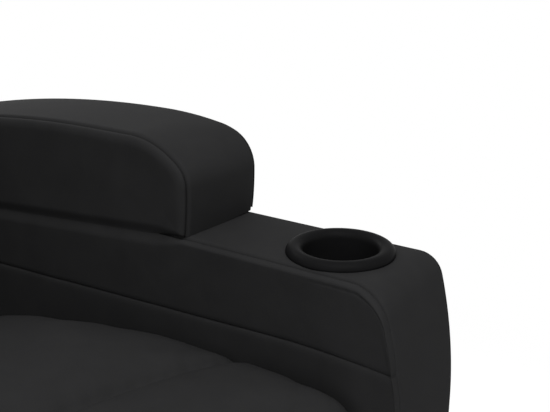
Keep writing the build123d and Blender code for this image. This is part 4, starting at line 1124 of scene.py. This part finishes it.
weave = effect("plain_weave", {"Threads": 260.0, "Soil": 18.0}, woven)
dress(
    "webbing", "elastic_webbing", weave, {}, dark=(0.14, 0.11, 0.08), light=(0.26, 0.21, 0.16),
    rough=(0.8, 0.95), bump=(0.5, 0.0006)
)

# The switch: a moulded housing with two glossy rockers, clipped into an opening in the right arm's
# outer panel, whose cut edge is covered by a half-round leather welt.
SWITCH_MARGIN = 1.2 * MM
SWITCH_REACH = 0.14
PANEL_DEPTH = 2 * MM
WELT_R = 2.0 * MM
WELT_SINK = 0.6 * MM
WELT_CORNER = 3.0 * MM
WELT_POINTS = 160
WELT_ANGLES = np.radians(np.linspace(-15, 195, 12))
switch_low, switch_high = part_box("switch_housing")
opening = {
    axis: (switch_low[axis] - SWITCH_MARGIN, switch_high[axis] + SWITCH_MARGIN) for axis in (1, 2)
}


def cut_opening(cover):
    """Cut the switch's rectangle out of the outer panel of an arm's cover."""
    work = bmesh.new()
    work.from_mesh(cover)

    def panel_faces(margin):
        """Faces of the panel inside the opening, or within a margin round it."""
        for face in work.faces:
            at = face.calc_center_median()
            inside = (low - margin < at[axis] < high + margin for axis, (low, high) in opening.items())
            if at.x < -ARM_SEAM_OUT - PANEL_DEPTH and all(inside):
                yield face

    for axis, limits in opening.items():
        for limit in limits:
            faces = list(panel_faces(SWITCH_REACH))
            edges = {edge for face in faces for edge in face.edges}
            corners = {corner for face in faces for corner in face.verts}
            place, normal = Vector(), Vector()
            place[axis], normal[axis] = limit, 1
            geometry = [*faces, *edges, *corners]
            bmesh.ops.bisect_plane(work, geom=geometry, plane_co=place, plane_no=normal)
    bmesh.ops.delete(work, geom=list(panel_faces(0)), context="FACES")
    work.to_mesh(cover)
    work.free()


def lay_welt():
    run_y, run_z = (high - low + WELT_R - 2 * WELT_CORNER for low, high in opening.values())
    turn = (WELT_CORNER, 90)
    start = (opening[1][0] - WELT_R / 2, opening[2][0] - WELT_R / 2 + WELT_CORNER)
    path = spaced(trace(start, 90, [run_z, turn, run_y, turn] * 2)[:-1], WELT_POINTS, True)
    rows = []
    for angle in WELT_ANGLES:
        flat = path + outward(path, True) * WELT_R * np.cos(angle)
        x = -arm_high.x + WELT_SINK - WELT_R * np.sin(angle)
        rows.append(np.column_stack([np.full(WELT_POINTS, x), flat]))
    faces = grid_faces(len(rows), WELT_POINTS, True)
    welt = make_piece("switch_welt", np.concatenate(rows), faces, leather)
    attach(welt, "base")


cut_opening(arms["right"].data)
lay_welt()
dress(
    "switch_plastic", "switch_housing", moulded, {"Grain": 900.0, "Marks": 24.0},
    dark=(0.01, 0.01, 0.011), light=(0.016, 0.016, 0.017), rough=(0.42, 0.55), bump=(0.1, 0.0002),
    Specular_IOR_Level=0.25
)
dress(
    "rocker_plastic", "rocker_gloss", moulded, {"Grain": 300.0, "Marks": 40.0},
    dark=(0.012, 0.012, 0.013), light=(0.02, 0.02, 0.021), rough=(0.18, 0.3), bump=(0.03, 0.0002),
    Specular_IOR_Level=0.35
)

# The feet: short round feet moulded in black plastic, two under each arm, screwed up into its
# floor board.
dress(
    "foot_plastic", "foot_plastic", moulded, {"Grain": 700.0, "Marks": 14.0},
    dark=(0.012, 0.012, 0.013), light=(0.02, 0.02, 0.021), rough=(0.42, 0.58), bump=(0.12, 0.0003)
)


# The studio: a pale floor that turns to plain white away from the chair, soft lamps above, at one
# side and behind, and the camera where the photographer stood.
WHITE = (1, 1, 1, 1)
FLOOR_HALF = 40.0
FLOOR_GREY = (0.86, 0.86, 0.86, 1)
FLOOR_FADE = (0.7, 1.6)
AMBIENT = 0.55


def seen_by_eye(tree):
    """One for rays from the camera and for what gloss or glass shows it, else nought."""
    path = tree.nodes.new("ShaderNodeLightPath").outputs
    either = worked_out(tree, "MAXIMUM", path["Is Camera Ray"], path["Is Glossy Ray"])
    return worked_out(tree, "MAXIMUM", either, path["Is Transmission Ray"])


def mixed(tree, share, first, second, end):
    """Send a mix of two shaders to a material's or the world's output."""
    mix = tree.nodes.new("ShaderNodeMixShader")
    feed(tree, mix.inputs, (share, first, second))
    give(tree, tree.nodes[end], Surface=mix.outputs["Shader"])


def studio_floor():
    corners = [(x * FLOOR_HALF, y * FLOOR_HALF, 0) for x, y in ((-1, -1), (1, -1), (1, 1), (-1, 1))]
    material = bpy.data.materials.new("pale_floor")
    material.use_nodes = True
    tree = material.node_tree
    shader = tree.nodes["Principled BSDF"]
    give(tree, shader, Base_Color=FLOOR_GREY, Roughness=0.9, Specular_IOR_Level=0.1)
    glow = add_node(tree, "Emission", Color=WHITE)
    length = tree.nodes.new("ShaderNodeVectorMath")
    length.operation = "LENGTH"
    feed(tree, length.inputs, [tree.nodes.new("ShaderNodeTexCoord").outputs["Object"]])
    near, far = FLOOR_FADE
    fade = add_node(tree, "MapRange", Value=length.outputs["Value"], From_Min=near, From_Max=far)
    fade.interpolation_type = "SMOOTHSTEP"
    share = worked_out(tree, "MULTIPLY", fade.outputs["Result"], seen_by_eye(tree))
    mixed(tree, share, shader.outputs["BSDF"], glow.outputs["Emission"], "Material Output")
    make_piece("floor", corners, [(0, 1, 2, 3)], material)


def white_world():
    world = bpy.data.worlds.new("studio")
    world.use_nodes = True
    scene.world = world
    tree = world.node_tree
    ambient = give(tree, tree.nodes["Background"], Color=WHITE, Strength=AMBIENT)
    white = add_node(tree, "Background", Color=WHITE)
    shown = seen_by_eye(tree)
    mixed(tree, shown, ambient.outputs["Background"], white.outputs["Background"], "World Output")


def softbox(name, place, target, size, power):
    lamp = bpy.data.lights.new(name, "AREA")
    lamp.energy = power
    lamp.size = size
    box = bpy.data.objects.new(name, lamp)
    box.location = place
    aim = Vector(target) - Vector(place)
    box.rotation_euler = aim.to_track_quat("-Z", "Y").to_euler()
    scene.collection.objects.link(box)


studio_floor()
white_world()
softbox("top_softbox", (-0.5, -0.9, 2.4), (0.0, -0.1, 0.5), 1.8, 65)
softbox("left_softbox", (-2.0, -0.8, 1.3), (0.2, -0.1, 0.5), 1.4, 16)
softbox("rear_softbox", (0.9, 2.2, 1.9), (0, 0, 0.5), 1.6, 30)

PHOTO_WIDTH = 550
FOCAL_PIXELS = 900
CAMERA_PLACE = (-0.4094, -0.7772, 0.9272)
CAMERA_DOWN = 18.139
CAMERA_TURN = -54.973
camera_data = bpy.data.cameras.new("camera")
camera_data.lens = camera_data.sensor_width * FOCAL_PIXELS / PHOTO_WIDTH
camera = bpy.data.objects.new("camera", camera_data)
camera.location = CAMERA_PLACE
camera.rotation_euler = (radians(90 - CAMERA_DOWN), 0, radians(CAMERA_TURN))
scene.collection.objects.link(camera)
scene.camera = camera
scene.view_settings.view_transform = "Standard"
